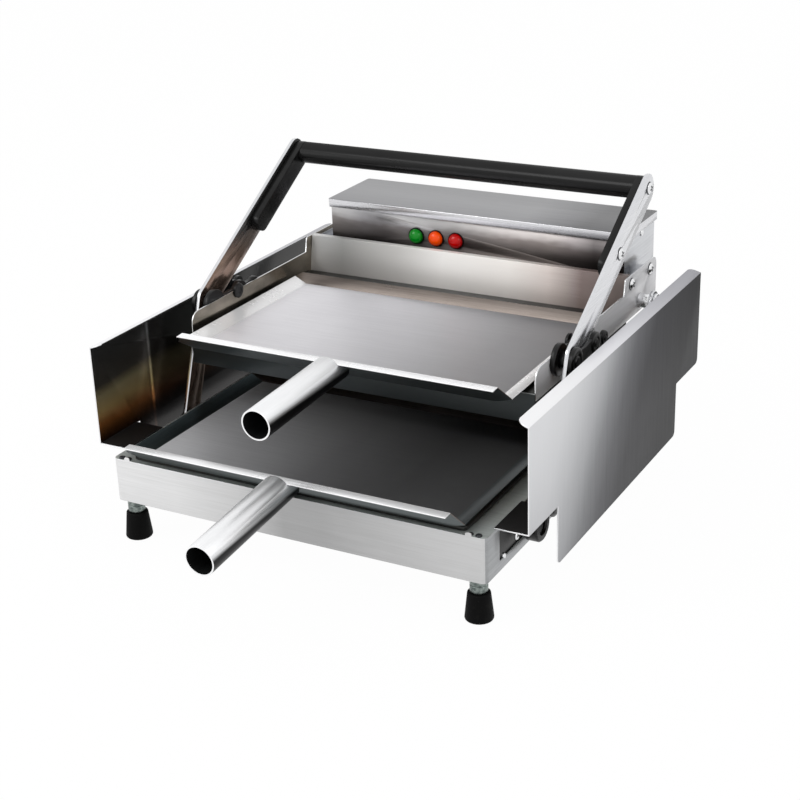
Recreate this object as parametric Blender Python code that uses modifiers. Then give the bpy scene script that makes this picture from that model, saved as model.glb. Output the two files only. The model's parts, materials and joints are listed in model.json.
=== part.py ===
"""Countertop electric grill for buns, with two heated decks, built as its separate pieces.

The upper deck hangs on four equal links. It is drawn here raised and swung back, as it stands
while the lower tray is filled. Metres, +Z up, +X to the operator's right, operator at -Y.
"""

import math

import bmesh
import bpy
from mathutils import Matrix, Vector

# Sheet metal, gaps between pieces, the overrun of every cut, and how near points are welded
SHEET = 0.0015
THIN_SHEET = 0.0012
GAP = 0.0003
OVERRUN = 0.004
WELD = 0.000004

# Base: outer size, the foot height it stands at, and its openings
BASE_WIDTH = 0.430
BASE_DEPTH = 0.470
BASE_HEIGHT = 0.048
BASE_CLEARANCE = 0.0455
BASE_CORNER = 0.006
PLATE_OPENING_MARGIN = 0.004
PLATE_OPENING_LEDGE = 0.006
WINDOW_FRONT = 0.030
WINDOW_LENGTH = 0.140
WINDOW_SILL = 0.0105
WINDOW_HEAD = 0.005
WINDOW_CORNER = 0.003
EAR_INSET = 0.018
EAR_WIDTH = 0.007
EAR_HEIGHT = 0.0035
VENT_COUNT = 7
VENT_LENGTH = 0.110
VENT_WIDTH = 0.006
VENT_PITCH = 0.030
VENT_MIDDLE = 0.250

# Heating plates and their tubular elements
PLATE_SIDE_MARGIN = 0.023
PLATE_FRONT = 0.006
PLATE_DEPTH = 0.250
PLATE_THICK = 0.0049
PLATE_CORNER = 0.004
ELEMENT_RADIUS = 0.004
ELEMENT_SIDE_INSET = 0.042
ELEMENT_INSET = 0.034
ELEMENT_BEND = 0.024
ELEMENT_RUNS = 4
BEND_STEPS = 5

# Linkage: base pivot and elbow of the lever, the pin of the rear link, and the bars
LEVER_CLEARANCE = 0.0025
BAR_THICK = 0.004
PIVOT_REACH = 0.111
PIVOT_RISE = 0.0265
ELBOW_REACH = 0.0505
ELBOW_RISE = 0.0188
REAR_PIN_SETBACK = 0.007
REAR_PIN_DROP = 0.014
LEG_HALF_WIDTH = 0.013
LEG_ROUND_SHARE = 0.98
ARM_HALF_WIDTH = 0.016
ARM_ROUND_SHARE = 0.9
ARM_RISE = math.radians(30.9)
ELBOW_OUTER_RADIUS = 0.010
ELBOW_INNER_RADIUS = 0.006
UPPER_SCREW_REACH = 0.240
SCREW_PITCH = 0.095
ARM_END = 0.014
REAR_LINK_HALF_WIDTH = 0.012

# Bolts and pins of the linkage
PIN_RADIUS = 0.005
RUNNING_CLEARANCE = 0.00015
HEAD_THICK = 0.0045
HEAD_DOME_SHARE = 0.8
HEAD_EDGE_SHARE = 0.7
NUT_THICK = 0.0055
NUT_RADIUS = 0.0075
PIN_HEAD_RADIUS = 0.0095
PIVOT_CAP_RADIUS = 0.017
COLLAR_RADIUS = 0.0085
REAR_NUT_RADIUS = 0.0062

# Deck: heating plate, pan, fascia, side plates and back panel
DECK_CLEARANCE = 0.014
DECK_FRONT = 0.1375
DECK_DEPTH = 0.2465
DECK_LIFT = 0.0907
DECK_PAN_DEPTH = 0.0265
SIDE_DROP = 0.0082
SIDE_GUARD_RISE = 0.0243
SIDE_FRONT_RADIUS = 0.013
TAB_LEAD = 0.008
TAB_RAMP = 0.004
TAB_RISE = 0.0175
TAB_RADIUS = 0.010
BACK_PANEL_LEAN = 0.0066
BACK_PANEL_FOLD = 0.008

# Trays: a shallow pan with a high front wall, the wall's flange, and a round tube handle
TRAY_SHEET = 0.0009
TRAY_SIDE_CLEARANCE = 0.0085
TRAY_FLARE = 0.018
TRAY_LIP_INSET = 0.0115
TRAY_DEPTH_MARGIN = 0.0185
TRAY_RIM_RISE = 0.006
TRAY_LIP_RISE = 0.019
TRAY_LIP_REACH = 0.011
TRAY_FLANGE = 0.010
TRAY_FLANGE_DROOP = 0.0005
TRAY_REAR_RISE = 0.011
TRAY_REAR_REACH = 0.008
TRAY_REAR_TAPER = 0.009
LOWER_LIP_LEAD = 0.0096
UPPER_LIP_LEAD = 0.0428
TUBE_RADIUS = 0.016
TUBE_WALL = 0.0017
TUBE_REACH = 0.141
TUBE_RISE = 0.0103
LOWER_TUBE_SLOPE = math.radians(5.3)
UPPER_TUBE_SLOPE = math.radians(2.6)
TUBE_STAND_OFF = 0.0004

# Control box on the deck's tabs, its lid and lamps
BOX_SETBACK = 0.032
BOX_DEPTH = 0.094
BOX_SIDE_INSET = 0.0161
BOX_DROP = 0.0157
BOX_HEIGHT = 0.0546
BOX_FLOOR_REACH = 0.0236
BOX_OVERHANG = 0.034
FLANGE_RISE = 0.0115
FLANGE_BEYOND = 0.0024
LID_OVERHANG = 0.003
LID_LIP = 0.0098
LID_CORNER = 0.003
LAMP_PLACES = (-0.0725, -0.0465, -0.0205)
LAMP_HEIGHT = 0.0225
LAMP_RADIUS = 0.009
LAMP_DOME = 0.0065
LAMP_STEM_RADIUS = 0.006
LAMP_STEM_LENGTH = 0.014
THERMOSTAT_RADIUS = 0.019
THERMOSTAT_HEIGHT = 0.024
THERMOSTAT_PLACE = 0.070

# Power switch in the control box's rear wall
SWITCH_PLACE = 0.123
SWITCH_DROP = 0.0266
SWITCH_WIDTH = 0.026
SWITCH_HEIGHT = 0.021
SWITCH_BODY_DEPTH = 0.013
SWITCH_BEZEL = 0.003
ROCKER_RADIUS = 0.0076
ROCKER_TILT = math.radians(8.0)
ROCKER_EDGE = math.radians(58.0)
ROCKER_CLEARANCE = 0.001
ROCKER_PROUD = 0.0036
ROCKER_DIP = 0.0006

# Black link plates on the deck's sides, and pivot plates behind the base's windows
LINK_PLATE_THICK = 0.006
LINK_PLATE_STEPS = (0.050, 0.079)
LINK_PLATE_RADII = (0.017, 0.0125, 0.0085)
LINK_PLATE_NECK = 0.0065
PIVOT_PLATE_THICK = 0.002
PIVOT_PLATE_MARGIN = 0.004
PIVOT_PLATE_HEADROOM = 0.0075
PIVOT_PLATE_RADIUS = 0.008

# Handle: a bar with a moulded leg at each end, and the screws of the handle and of the box's tabs
HANDLE_WIDTH = 0.024
HANDLE_HEIGHT = 0.021
HANDLE_CORNER = 0.0085
HANDLE_LEG_THICK = 0.010
HANDLE_LEG_WIDTH = 0.022
HANDLE_LEG_BEYOND = 0.028
HANDLE_LEG_ROUND_SHARE = 0.8
SCREW_RADIUS = 0.0025
SCREW_HEAD_RADIUS = 0.0062
SCREW_HEAD_THICK = 0.003
SCREW_DOME_SHARES = (0.55, 0.85)
SCREW_EDGE_SHARE = 0.3
SCREW_BITE = 0.0075
SCREW_NUT_RADIUS = 0.0038
SCREW_NUT_THICK = 0.003
TAB_SCREW_LEAD = 0.019
TAB_SCREW_INSET = 0.021
TAB_SCREW_HEIGHT = 0.0055

# Side wings: a stepped skirt, a top flange that leans inward, feet that fold onto the base
WING_CLEARANCE = 0.0275
WING_FRONT = 0.0217
WING_OVERHANG = 0.029
WING_RISE = 0.1102
WING_SKIRT_FRONT = 0.090
WING_SKIRT_INSET = 0.043
WING_SKIRT_DROP = 0.015
WING_CORNER = 0.006
WING_FLANGE_IN = 0.0133
WING_FLANGE_UP = 0.0043
WING_FLANGE_RADIUS = 0.009
WING_FOOT_GRIP = 0.002
WING_FOOT_MARGIN = 0.006

# Feet: zinc ferrule in a tapered rubber boot
FOOT_SIDE_INSET = 0.014
FOOT_END_INSET = 0.013
BOOT_BOTTOM_RADIUS = 0.0145
BOOT_TOP_RADIUS = 0.0115
BOOT_HEIGHT = 0.030
BOOT_EDGE = 0.0015
SOCKET_DEPTH = 0.008
FERRULE_RADIUS = 0.009
FERRULE_STEM_RADIUS = 0.0075
FERRULE_GROOVE = 0.0007

# Cable gland and terminal block
GLAND_PLACE = 0.150
GLAND_RISE = 0.0225
GLAND_RADIUS = 0.012
GLAND_NECK_RADIUS = 0.008
GLAND_MOUTH_SHARE = 0.8
GLAND_BORE_RADIUS = 0.004
GLAND_COLLAR = 0.004
GLAND_LENGTH = 0.012
BLOCK_SIZE = (0.060, 0.025, 0.020)
BLOCK_PLACE = 0.125
BLOCK_INSET = 0.0575
BLOCK_SLOT = 0.004
BLOCK_SLOT_DEPTH = 0.006
BLOCK_SLOT_COUNT = 3

ROUND_STEPS = 24
FINE_STEPS = 32
ARC_STEPS = 4
HOLE_STEPS = 20

BASE_TOP = BASE_CLEARANCE + BASE_HEIGHT
BASE_HALF_WIDTH = BASE_WIDTH / 2
PLATE_HALF_WIDTH = BASE_HALF_WIDTH - PLATE_SIDE_MARGIN
PLATE_REAR = PLATE_FRONT + PLATE_DEPTH
LOWER_PLATE_TOP = BASE_TOP + GAP + PLATE_THICK
LEVER_INNER_FACE = BASE_HALF_WIDTH + LEVER_CLEARANCE
LEVER_OUTER_FACE = LEVER_INNER_FACE + BAR_THICK
DECK_OUTER_HALF_WIDTH = LEVER_INNER_FACE - DECK_CLEARANCE
DECK_INNER_HALF_WIDTH = DECK_OUTER_HALF_WIDTH - SHEET
DECK_FILL_HALF_WIDTH = DECK_INNER_HALF_WIDTH - GAP
DECK_REAR = DECK_FRONT + DECK_DEPTH
DECK_TOP = BASE_TOP + DECK_LIFT
DECK_PLATE_BOTTOM = DECK_TOP - PLATE_THICK
DECK_PAN_TOP = DECK_PLATE_BOTTOM - GAP
DECK_PAN_BOTTOM = DECK_PAN_TOP - DECK_PAN_DEPTH
DECK_INSIDE_FRONT = DECK_FRONT + THIN_SHEET + GAP
SIDE_FRONT = DECK_INSIDE_FRONT
SIDE_BOTTOM = DECK_TOP - SIDE_DROP
SIDE_TOP = DECK_TOP + SIDE_GUARD_RISE
TAB_START = DECK_REAR - TAB_LEAD
TAB_TOP = SIDE_TOP + TAB_RISE
BACK_PANEL_FRONT = DECK_REAR + GAP
BOX_FRONT = DECK_REAR + BOX_SETBACK
BOX_REAR = BOX_FRONT + BOX_DEPTH
BOX_HALF_WIDTH = DECK_OUTER_HALF_WIDTH - BOX_SIDE_INSET
BOX_FLOOR = TAB_TOP - BOX_DROP
BOX_TOP = BOX_FLOOR + BOX_HEIGHT
SIDE_REAR = BOX_REAR - BOX_OVERHANG
LID_TOP = BOX_TOP + GAP + THIN_SHEET
TAB_SCREW_PLACES = (BOX_FRONT - TAB_SCREW_LEAD, SIDE_REAR - TAB_SCREW_INSET)
TRAY_RIM_HALF_WIDTH = DECK_OUTER_HALF_WIDTH - TRAY_SIDE_CLEARANCE
TRAY_FLOOR_HALF_WIDTH = TRAY_RIM_HALF_WIDTH - TRAY_FLARE
TRAY_LIP_HALF_WIDTH = TRAY_RIM_HALF_WIDTH - TRAY_LIP_INSET
TRAY_DEPTH = DECK_DEPTH - TRAY_DEPTH_MARGIN
LOWER_TRAY_FLOOR = LOWER_PLATE_TOP + GAP
UPPER_TRAY_FLOOR = DECK_TOP + GAP
LOWER_LIP_PLACE = -LOWER_LIP_LEAD
UPPER_LIP_PLACE = DECK_FRONT - UPPER_LIP_LEAD
HOLE_RADIUS = PIN_RADIUS + RUNNING_CLEARANCE
SCREW_HOLE_RADIUS = SCREW_RADIUS + RUNNING_CLEARANCE
ARM_DIRECTION = Vector((math.cos(ARM_RISE), math.sin(ARM_RISE)))
PIVOT = Vector((WINDOW_FRONT + PIVOT_REACH, BASE_CLEARANCE + PIVOT_RISE))
ELBOW = Vector((DECK_FRONT + ELBOW_REACH, DECK_TOP + ELBOW_RISE))
LINK_STEP = Vector((BOX_FRONT + REAR_PIN_SETBACK - ELBOW.x, -REAR_PIN_DROP))
REAR_PIVOT = PIVOT + LINK_STEP
REAR_ELBOW = ELBOW + LINK_STEP
UPPER_SCREW = ELBOW + ARM_DIRECTION * UPPER_SCREW_REACH
LOWER_SCREW = UPPER_SCREW - ARM_DIRECTION * SCREW_PITCH
WING_HALF_WIDTH = LEVER_OUTER_FACE + WING_CLEARANCE
WING_REAR = BASE_DEPTH + WING_OVERHANG
WING_TOP = BASE_TOP + WING_RISE
WING_SKIRT_REAR = BASE_DEPTH - WING_SKIRT_INSET
WING_SKIRT_BOTTOM = BASE_CLEARANCE - WING_SKIRT_DROP
TUBE_FRONT = LOWER_LIP_PLACE - TUBE_REACH
FOREMOST = TUBE_FRONT - TUBE_RADIUS * math.sin(LOWER_TUBE_SLOPE)
REARMOST = BOX_REAR + LID_OVERHANG
FRAME_MIDDLE = (FOREMOST + REARMOST) / 2

for leftover in list(bpy.data.objects):
    bpy.data.objects.remove(leftover)

PARTS = bpy.data.collections.new("bun_grill")
CUTTERS = bpy.data.collections.new("cutters")
for group in (PARTS, CUTTERS):
    bpy.context.scene.collection.children.link(group)


def finish(name, colour, roughness, metallic):
    """A plain Principled material."""
    made = bpy.data.materials.new(name)
    made.use_nodes = True
    shader = made.node_tree.nodes["Principled BSDF"]
    shader.inputs["Base Color"].default_value = (*colour, 1)
    shader.inputs["Roughness"].default_value = roughness
    shader.inputs["Metallic"].default_value = metallic
    return made


STAINLESS = finish("stainless", (0.72, 0.73, 0.74), 0.32, 1)
BRIGHT_STEEL = finish("bright_steel", (0.85, 0.85, 0.86), 0.20, 1)
PLATE_STEEL = finish("plate_steel", (0.25, 0.28, 0.28), 0.45, 0.8)
BLACK_STEEL = finish("black_steel", (0.02, 0.02, 0.02), 0.40, 0.3)
BLACK_PLASTIC = finish("black_plastic", (0.015, 0.015, 0.016), 0.38, 0)
RUBBER = finish("rubber", (0.01, 0.01, 0.01), 0.75, 0)
ZINC = finish("zinc", (0.55, 0.58, 0.56), 0.35, 1)
ELEMENT = finish("element", (0.12, 0.11, 0.10), 0.50, 0.8)
CERAMIC = finish("ceramic", (0.80, 0.78, 0.72), 0.55, 0)
LENSES = {
    "lamp_green": finish("lens_green", (0.01, 0.45, 0.12), 0.15, 0),
    "lamp_orange": finish("lens_orange", (0.95, 0.16, 0.02), 0.15, 0),
    "lamp_red": finish("lens_red", (0.75, 0.01, 0.01), 0.15, 0),
}


def arc(centre, radius, start, end, steps):
    """Points on an arc from one angle to another, both ends included."""
    spread = [start + (end - start) * i / steps for i in range(steps + 1)]
    return [(centre[0] + radius * math.cos(a), centre[1] + radius * math.sin(a)) for a in spread]


def circle(centre, radius, steps=HOLE_STEPS):
    return arc(centre, radius, 0, math.tau, steps)[:-1]


def rounded(corners, steps=ARC_STEPS):
    """An outline from (u, v, radius) corners, with an arc in place of each corner that has a radius."""
    outline = []
    for index, (u, v, radius) in enumerate(corners):
        here = Vector((u, v))
        if not radius:
            outline.append((u, v))
            continue
        back = (Vector(corners[index - 1][:2]) - here).normalized()
        ahead = (Vector(corners[(index + 1) % len(corners)][:2]) - here).normalized()
        half = back.angle(ahead) / 2
        centre = here + (back + ahead).normalized() * radius / math.sin(half)
        first = here + back * radius / math.tan(half) - centre
        turn = first.angle_signed(here + ahead * radius / math.tan(half) - centre)
        start = math.atan2(first.y, first.x)
        outline += arc(centre, radius, start, start - turn, steps)
    return outline


def rectangle(low, high, radius=0):
    """A rectangle's outline, with its corners rounded where a radius is given."""
    corners = ((low[0], low[1]), (high[0], low[1]), (high[0], high[1]), (low[0], high[1]))
    return rounded([(u, v, radius) for u, v in corners])


ALONG = {
    "X": Matrix(((0, 0, 1, 0), (1, 0, 0, 0), (0, 1, 0, 0), (0, 0, 0, 1))),
    "Y": Matrix(((1, 0, 0, 0), (0, 0, -1, 0), (0, 1, 0, 0), (0, 0, 0, 1))),
    "Z": Matrix.Identity(4),
}


def register(piece, material, origin=(0, 0, 0)):
    """Puts a mesh object in the grill with its origin at a given point of it."""
    shift = Vector(origin)
    piece.data.transform(piece.matrix_basis)
    piece.data.transform(Matrix.Translation(-shift))
    piece.matrix_basis = Matrix.Translation(shift - Vector((0, FRAME_MIDDLE, 0)))
    piece.data.materials.clear()
    piece.data.materials.append(material)
    if piece.name not in PARTS.objects:
        PARTS.objects.link(piece)
    return piece


def tool(piece):
    """Makes a mesh object a helper that is only cut from or joined to another."""
    piece.data.transform(piece.matrix_basis)
    piece.matrix_basis = Matrix.Translation(Vector((0, -FRAME_MIDDLE, 0)))
    piece.hide_render = True
    piece.display_type = "WIRE"
    CUTTERS.objects.link(piece)
    return piece


def combine(piece, other, operation):
    """Cuts a helper from a piece, or joins it on."""
    modifier = piece.modifiers.new(other.name, "BOOLEAN")
    modifier.operation = operation
    modifier.solver = "EXACT"
    modifier.object = other
    return piece


def cut(piece, other):
    return combine(piece, tool(other), "DIFFERENCE")


def join(piece, other):
    return combine(piece, tool(other), "UNION")


def keep(piece, other):
    """Keeps only what a helper covers of a piece."""
    return combine(piece, tool(other), "INTERSECT")


def block(name, low, high):
    """A box between two corners."""
    shape = bmesh.new()
    bmesh.ops.create_cube(shape, size=1)
    size = Vector(high) - Vector(low)
    middle = (Vector(high) + Vector(low)) / 2
    bmesh.ops.scale(shape, vec=size, verts=shape.verts)
    bmesh.ops.translate(shape, vec=middle, verts=shape.verts)
    mesh = bpy.data.meshes.new(name)
    shape.to_mesh(mesh)
    shape.free()
    return bpy.data.objects.new(name, mesh)


def extruded(name, outlines, thickness, placing):
    """A flat shape with holes, as thick as given, whose own Z starts at its lower face."""
    curve = bpy.data.curves.new(name, "CURVE")
    curve.dimensions = "2D"
    curve.fill_mode = "BOTH"
    curve.extrude = thickness / 2
    for outline in outlines:
        spline = curve.splines.new("POLY")
        spline.points.add(len(outline) - 1)
        spline.use_cyclic_u = True
        for point, (u, v) in zip(spline.points, outline):
            point.co = (u, v, 0, 1)
    return meshed(name, curve, placing @ Matrix.Translation((0, 0, thickness / 2)))


def meshed(name, curve, placing):
    """Turns a curve into a welded mesh object at its place."""
    source = bpy.data.objects.new(name + "_curve", curve)
    bpy.context.scene.collection.objects.link(source)
    bpy.context.view_layer.update()
    evaluated = source.evaluated_get(bpy.context.evaluated_depsgraph_get())
    mesh = bpy.data.meshes.new_from_object(evaluated)
    mesh.name = name
    bpy.data.objects.remove(source)
    shape = bmesh.new()
    shape.from_mesh(mesh)
    bmesh.ops.remove_doubles(shape, verts=shape.verts, dist=WELD)
    bmesh.ops.recalc_face_normals(shape, faces=shape.faces)
    shape.to_mesh(mesh)
    shape.free()
    made = bpy.data.objects.new(name, mesh)
    made.matrix_basis = placing
    return made


def prism(name, outlines, along, start, end):
    """A flat shape drawn across an axis and as long as the stretch between two places on it."""
    shift = {"X": (start, 0, 0), "Y": (0, end, 0), "Z": (0, 0, start)}[along]
    return extruded(name, outlines, end - start, Matrix.Translation(shift) @ ALONG[along])


def turned(name, profile, direction, place, steps=ROUND_STEPS):
    """A turned piece: (radius, height) from its top down its outer side, turned round a direction."""
    mesh = bpy.data.meshes.new(name)
    points = [(radius, 0, height) for radius, height in profile]
    edges = [(i, i + 1) for i in range(len(points) - 1)]
    if profile[0][0] or profile[-1][0]:
        edges.append((len(points) - 1, 0))
    mesh.from_pydata(points, edges, [])
    made = bpy.data.objects.new(name, mesh)
    screw = made.modifiers.new("turned", "SCREW")
    screw.steps = steps
    screw.render_steps = steps
    screw.use_merge_vertices = True
    screw.merge_threshold = WELD
    screw.use_smooth_shade = True
    aim = Vector((0, 0, 1)).rotation_difference(Vector(direction)).to_matrix().to_4x4()
    made.matrix_basis = Matrix.Translation(Vector(place)) @ aim
    return made


def register_turned(piece, material):
    """A turned piece keeps its own axis, so only its place in the frame is set."""
    piece.matrix_basis = Matrix.Translation(Vector((0, -FRAME_MIDDLE, 0))) @ piece.matrix_basis
    piece.data.materials.append(material)
    PARTS.objects.link(piece)
    return piece


def side_name(name, side):
    return name + ("_right" if side > 0 else "_left")


def side_plate(name, outlines, side, inner, outer):
    """A plate across X on one side, between two distances from the middle."""
    start, end = (inner, outer) if side > 0 else (-outer, -inner)
    return prism(side_name(name, side), outlines, "X", start, end)


def rod_path(corners, bend):
    """The points of a wire that runs through flat corners, each rounded to a bend radius."""
    ends = (corners[0], corners[-1])
    inner = rounded([(x, y, bend) for x, y in corners], BEND_STEPS)[BEND_STEPS + 1:-(BEND_STEPS + 1)]
    return [ends[0], *inner, ends[1]]


def rod(name, points, radius, height):
    """A round wire along flat points at one height."""
    curve = bpy.data.curves.new(name, "CURVE")
    curve.dimensions = "3D"
    curve.bevel_depth = radius
    curve.bevel_resolution = 2
    curve.use_fill_caps = True
    spline = curve.splines.new("POLY")
    spline.points.add(len(points) - 1)
    for point, (x, y) in zip(spline.points, points):
        point.co = (x, y, height, 1)
    return meshed(name, curve, Matrix.Identity(4))


def heating_element(name, front, rear, top):
    """Parallel runs under a heating plate, joined by bends at alternate ends."""
    widest = PLATE_HALF_WIDTH - ELEMENT_SIDE_INSET
    pitch = 2 * widest / (ELEMENT_RUNS - 1)
    near = front + ELEMENT_INSET
    far = rear - ELEMENT_INSET
    corners = []
    for run in range(ELEMENT_RUNS):
        x = run * pitch - widest
        corners += [(x, far), (x, near)] if run % 2 == 0 else [(x, near), (x, far)]
    corners[0] = (corners[0][0], rear - ELEMENT_INSET / 2)
    corners[-1] = (corners[-1][0], rear - ELEMENT_INSET / 2)
    return rod(name, rod_path(corners, ELEMENT_BEND), ELEMENT_RADIUS, top - ELEMENT_RADIUS)


def base_shell():
    """Folded sheet box, open below, with a window in each side and an opening for the plate."""
    outline = rectangle((-BASE_HALF_WIDTH, 0), (BASE_HALF_WIDTH, BASE_DEPTH), BASE_CORNER)
    shell = prism("base_shell", [outline], "Z", BASE_CLEARANCE, BASE_TOP)
    inside = rectangle(
        (SHEET - BASE_HALF_WIDTH, SHEET), (BASE_HALF_WIDTH - SHEET, BASE_DEPTH - SHEET), BASE_CORNER - SHEET
    )
    cut(shell, prism("base_inside", [inside], "Z", BASE_CLEARANCE - OVERRUN, BASE_TOP - SHEET))
    opening = PLATE_HALF_WIDTH - PLATE_OPENING_MARGIN
    cut(shell, block(
        "plate_opening", (-opening, PLATE_FRONT + PLATE_OPENING_LEDGE, BASE_TOP - SHEET - OVERRUN),
        (opening, PLATE_REAR - PLATE_OPENING_MARGIN, BASE_TOP + OVERRUN)
    ))
    low = (WINDOW_FRONT, BASE_CLEARANCE + WINDOW_SILL)
    high = (WINDOW_FRONT + WINDOW_LENGTH, BASE_TOP - WINDOW_HEAD)
    window = rectangle(low, high, WINDOW_CORNER)
    reach = BASE_HALF_WIDTH + OVERRUN
    cut(shell, prism("base_windows", [window], "X", -reach, reach))
    cut(shell, prism("rear_pivot_holes", [circle(REAR_PIVOT, HOLE_RADIUS)], "X", -reach, reach))
    centre = (GLAND_PLACE, BASE_CLEARANCE + GLAND_RISE)
    gland = circle(centre, GLAND_NECK_RADIUS + RUNNING_CLEARANCE, ROUND_STEPS)
    cut(shell, prism("gland_hole", [gland], "Y", BASE_DEPTH - SHEET - OVERRUN, BASE_DEPTH + OVERRUN))
    for side in (-1, 1):
        left = side * (BASE_HALF_WIDTH - EAR_INSET) - EAR_WIDTH / 2
        corners = (
            (left, BASE_TOP - SHEET / 2, 0),
            (left + EAR_WIDTH, BASE_TOP - SHEET / 2, 0),
            (left + EAR_WIDTH, BASE_TOP + EAR_HEIGHT, EAR_WIDTH / 3),
            (left, BASE_TOP + EAR_HEIGHT, EAR_WIDTH / 3),
        )
        join(shell, prism(side_name("front_ear", side), [rounded(corners)], "Y", 0, SHEET))
    return register(shell, STAINLESS)


def base_bottom_cover():
    """Flat cover inside the shell's lower edge, with a row of vent slots."""
    inset = SHEET + GAP
    outline = rectangle(
        (inset - BASE_HALF_WIDTH, inset), (BASE_HALF_WIDTH - inset, BASE_DEPTH - inset), BASE_CORNER - SHEET
    )
    slots = []
    for index in range(VENT_COUNT):
        y = VENT_MIDDLE + (index - (VENT_COUNT - 1) / 2) * VENT_PITCH
        low = (-VENT_LENGTH / 2, y - VENT_WIDTH / 2)
        slots.append(rectangle(low, (VENT_LENGTH / 2, y + VENT_WIDTH / 2), VENT_WIDTH / 3))
    top = BASE_CLEARANCE + THIN_SHEET
    return register(prism("base_bottom_cover", [outline, *slots], "Z", BASE_CLEARANCE, top), STAINLESS)


def lower_heating_plate():
    low = (-PLATE_HALF_WIDTH, PLATE_FRONT)
    outline = rectangle(low, (PLATE_HALF_WIDTH, PLATE_REAR), PLATE_CORNER)
    plate = prism("lower_heating_plate", [outline], "Z", BASE_TOP + GAP, LOWER_PLATE_TOP)
    return register(plate, PLATE_STEEL)


def lower_heater():
    return register(heating_element("lower_heater", PLATE_FRONT, PLATE_REAR, BASE_TOP), ELEMENT)


def pivot_plate(side):
    """Black plate behind the window, which carries the lever's pivot bolt."""
    sill = BASE_CLEARANCE + THIN_SHEET + 2 * GAP
    low = (WINDOW_FRONT - PIVOT_PLATE_MARGIN, sill)
    rear = WINDOW_FRONT + WINDOW_LENGTH + PIVOT_PLATE_MARGIN
    outline = rectangle(low, (rear, sill + BASE_HEIGHT - PIVOT_PLATE_HEADROOM), PIVOT_PLATE_RADIUS)
    outer = BASE_HALF_WIDTH - SHEET - GAP
    plate = side_plate(
        "pivot_plate", [outline, circle(PIVOT, HOLE_RADIUS)], side, outer - PIVOT_PLATE_THICK, outer
    )
    return register(plate, BLACK_STEEL)


def pin(name, side, place, material, steps, outer_head):
    """A headed pin along X: steps are (radius, distance from the middle) from its outer end inward."""
    radius, thick = outer_head
    face = LEVER_OUTER_FACE + GAP
    profile = [
        (0, face + thick),
        (radius * HEAD_DOME_SHARE, face + thick),
        (radius, face + thick * HEAD_EDGE_SHARE),
        (radius, face),
        *steps,
    ]
    made = turned(side_name(name, side), profile, (side, 0, 0), (0, place.x, place.y))
    return register_turned(made, material)


def shank(inner_face, outer_face, radius):
    """Two profile points of a stretch of one radius, from its outer end to its inner end."""
    return [(radius, outer_face), (radius, inner_face)]


def lever_pivot_bolt(side):
    """Bolt with a large black cap outside the lever and a nut behind the pivot plate."""
    plate_outer = BASE_HALF_WIDTH - SHEET - GAP
    plate_inner = plate_outer - PIVOT_PLATE_THICK
    nut = plate_inner - GAP
    steps = [
        *shank(LEVER_INNER_FACE - GAP, LEVER_OUTER_FACE + GAP, PIN_RADIUS),
        *shank(plate_outer + GAP, LEVER_INNER_FACE - GAP, COLLAR_RADIUS),
        *shank(nut, plate_outer + GAP, PIN_RADIUS),
        *shank(nut - NUT_THICK, nut, NUT_RADIUS),
        (0, nut - NUT_THICK),
    ]
    return pin("lever_pivot_bolt", side, PIVOT, BLACK_STEEL, steps, (PIVOT_CAP_RADIUS, HEAD_THICK))


def rear_pivot_bolt(side):
    """Bolt through the base's side that carries the rear link."""
    nut = BASE_HALF_WIDTH - SHEET - GAP
    steps = [
        *shank(LEVER_INNER_FACE - GAP, LEVER_OUTER_FACE + GAP, PIN_RADIUS),
        *shank(BASE_HALF_WIDTH + GAP, LEVER_INNER_FACE - GAP, COLLAR_RADIUS),
        *shank(nut, BASE_HALF_WIDTH + GAP, PIN_RADIUS),
        *shank(nut - NUT_THICK, nut, NUT_RADIUS),
        (0, nut - NUT_THICK),
    ]
    return pin("rear_pivot_bolt", side, REAR_PIVOT, ZINC, steps, (PIN_HEAD_RADIUS, HEAD_THICK))


def elbow_bolt(side):
    """Bolt of the deck on which the lever's elbow turns, held in the link plate's front boss."""
    plate_outer = DECK_OUTER_HALF_WIDTH + GAP + LINK_PLATE_THICK
    inner_end = DECK_OUTER_HALF_WIDTH + 2 * GAP
    steps = [
        *shank(LEVER_INNER_FACE - GAP, LEVER_OUTER_FACE + GAP, PIN_RADIUS),
        *shank(plate_outer + GAP, LEVER_INNER_FACE - GAP, COLLAR_RADIUS),
        *shank(inner_end, plate_outer + GAP, PIN_RADIUS),
        (0, inner_end),
    ]
    return pin("elbow_bolt", side, ELBOW, ZINC, steps, (PIN_HEAD_RADIUS, HEAD_THICK))


def rear_link_pin(side):
    """Bolt of the deck at the top of the rear link, through the tab of the side plate."""
    nut = DECK_INNER_HALF_WIDTH - GAP
    steps = [
        *shank(LEVER_INNER_FACE - GAP, LEVER_OUTER_FACE + GAP, PIN_RADIUS),
        *shank(DECK_OUTER_HALF_WIDTH + GAP, LEVER_INNER_FACE - GAP, COLLAR_RADIUS),
        *shank(nut, DECK_OUTER_HALF_WIDTH + GAP, PIN_RADIUS),
        *shank(nut - NUT_THICK, nut, REAR_NUT_RADIUS),
        (0, nut - NUT_THICK),
    ]
    return pin("rear_link_pin", side, REAR_ELBOW, ZINC, steps, (PIN_HEAD_RADIUS, HEAD_THICK))


def offset_corner(point, before, after, before_shift, after_shift):
    """Where two lines through a point meet after each is moved sideways by its own amount."""
    first_normal = Vector((-before.y, before.x))
    second_normal = Vector((-after.y, after.x))
    first = point + first_normal * before_shift
    second = point + second_normal * after_shift
    across = before.x * after.y - before.y * after.x
    gap = second - first
    return first + before * ((gap.x * after.y - gap.y * after.x) / across)


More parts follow.
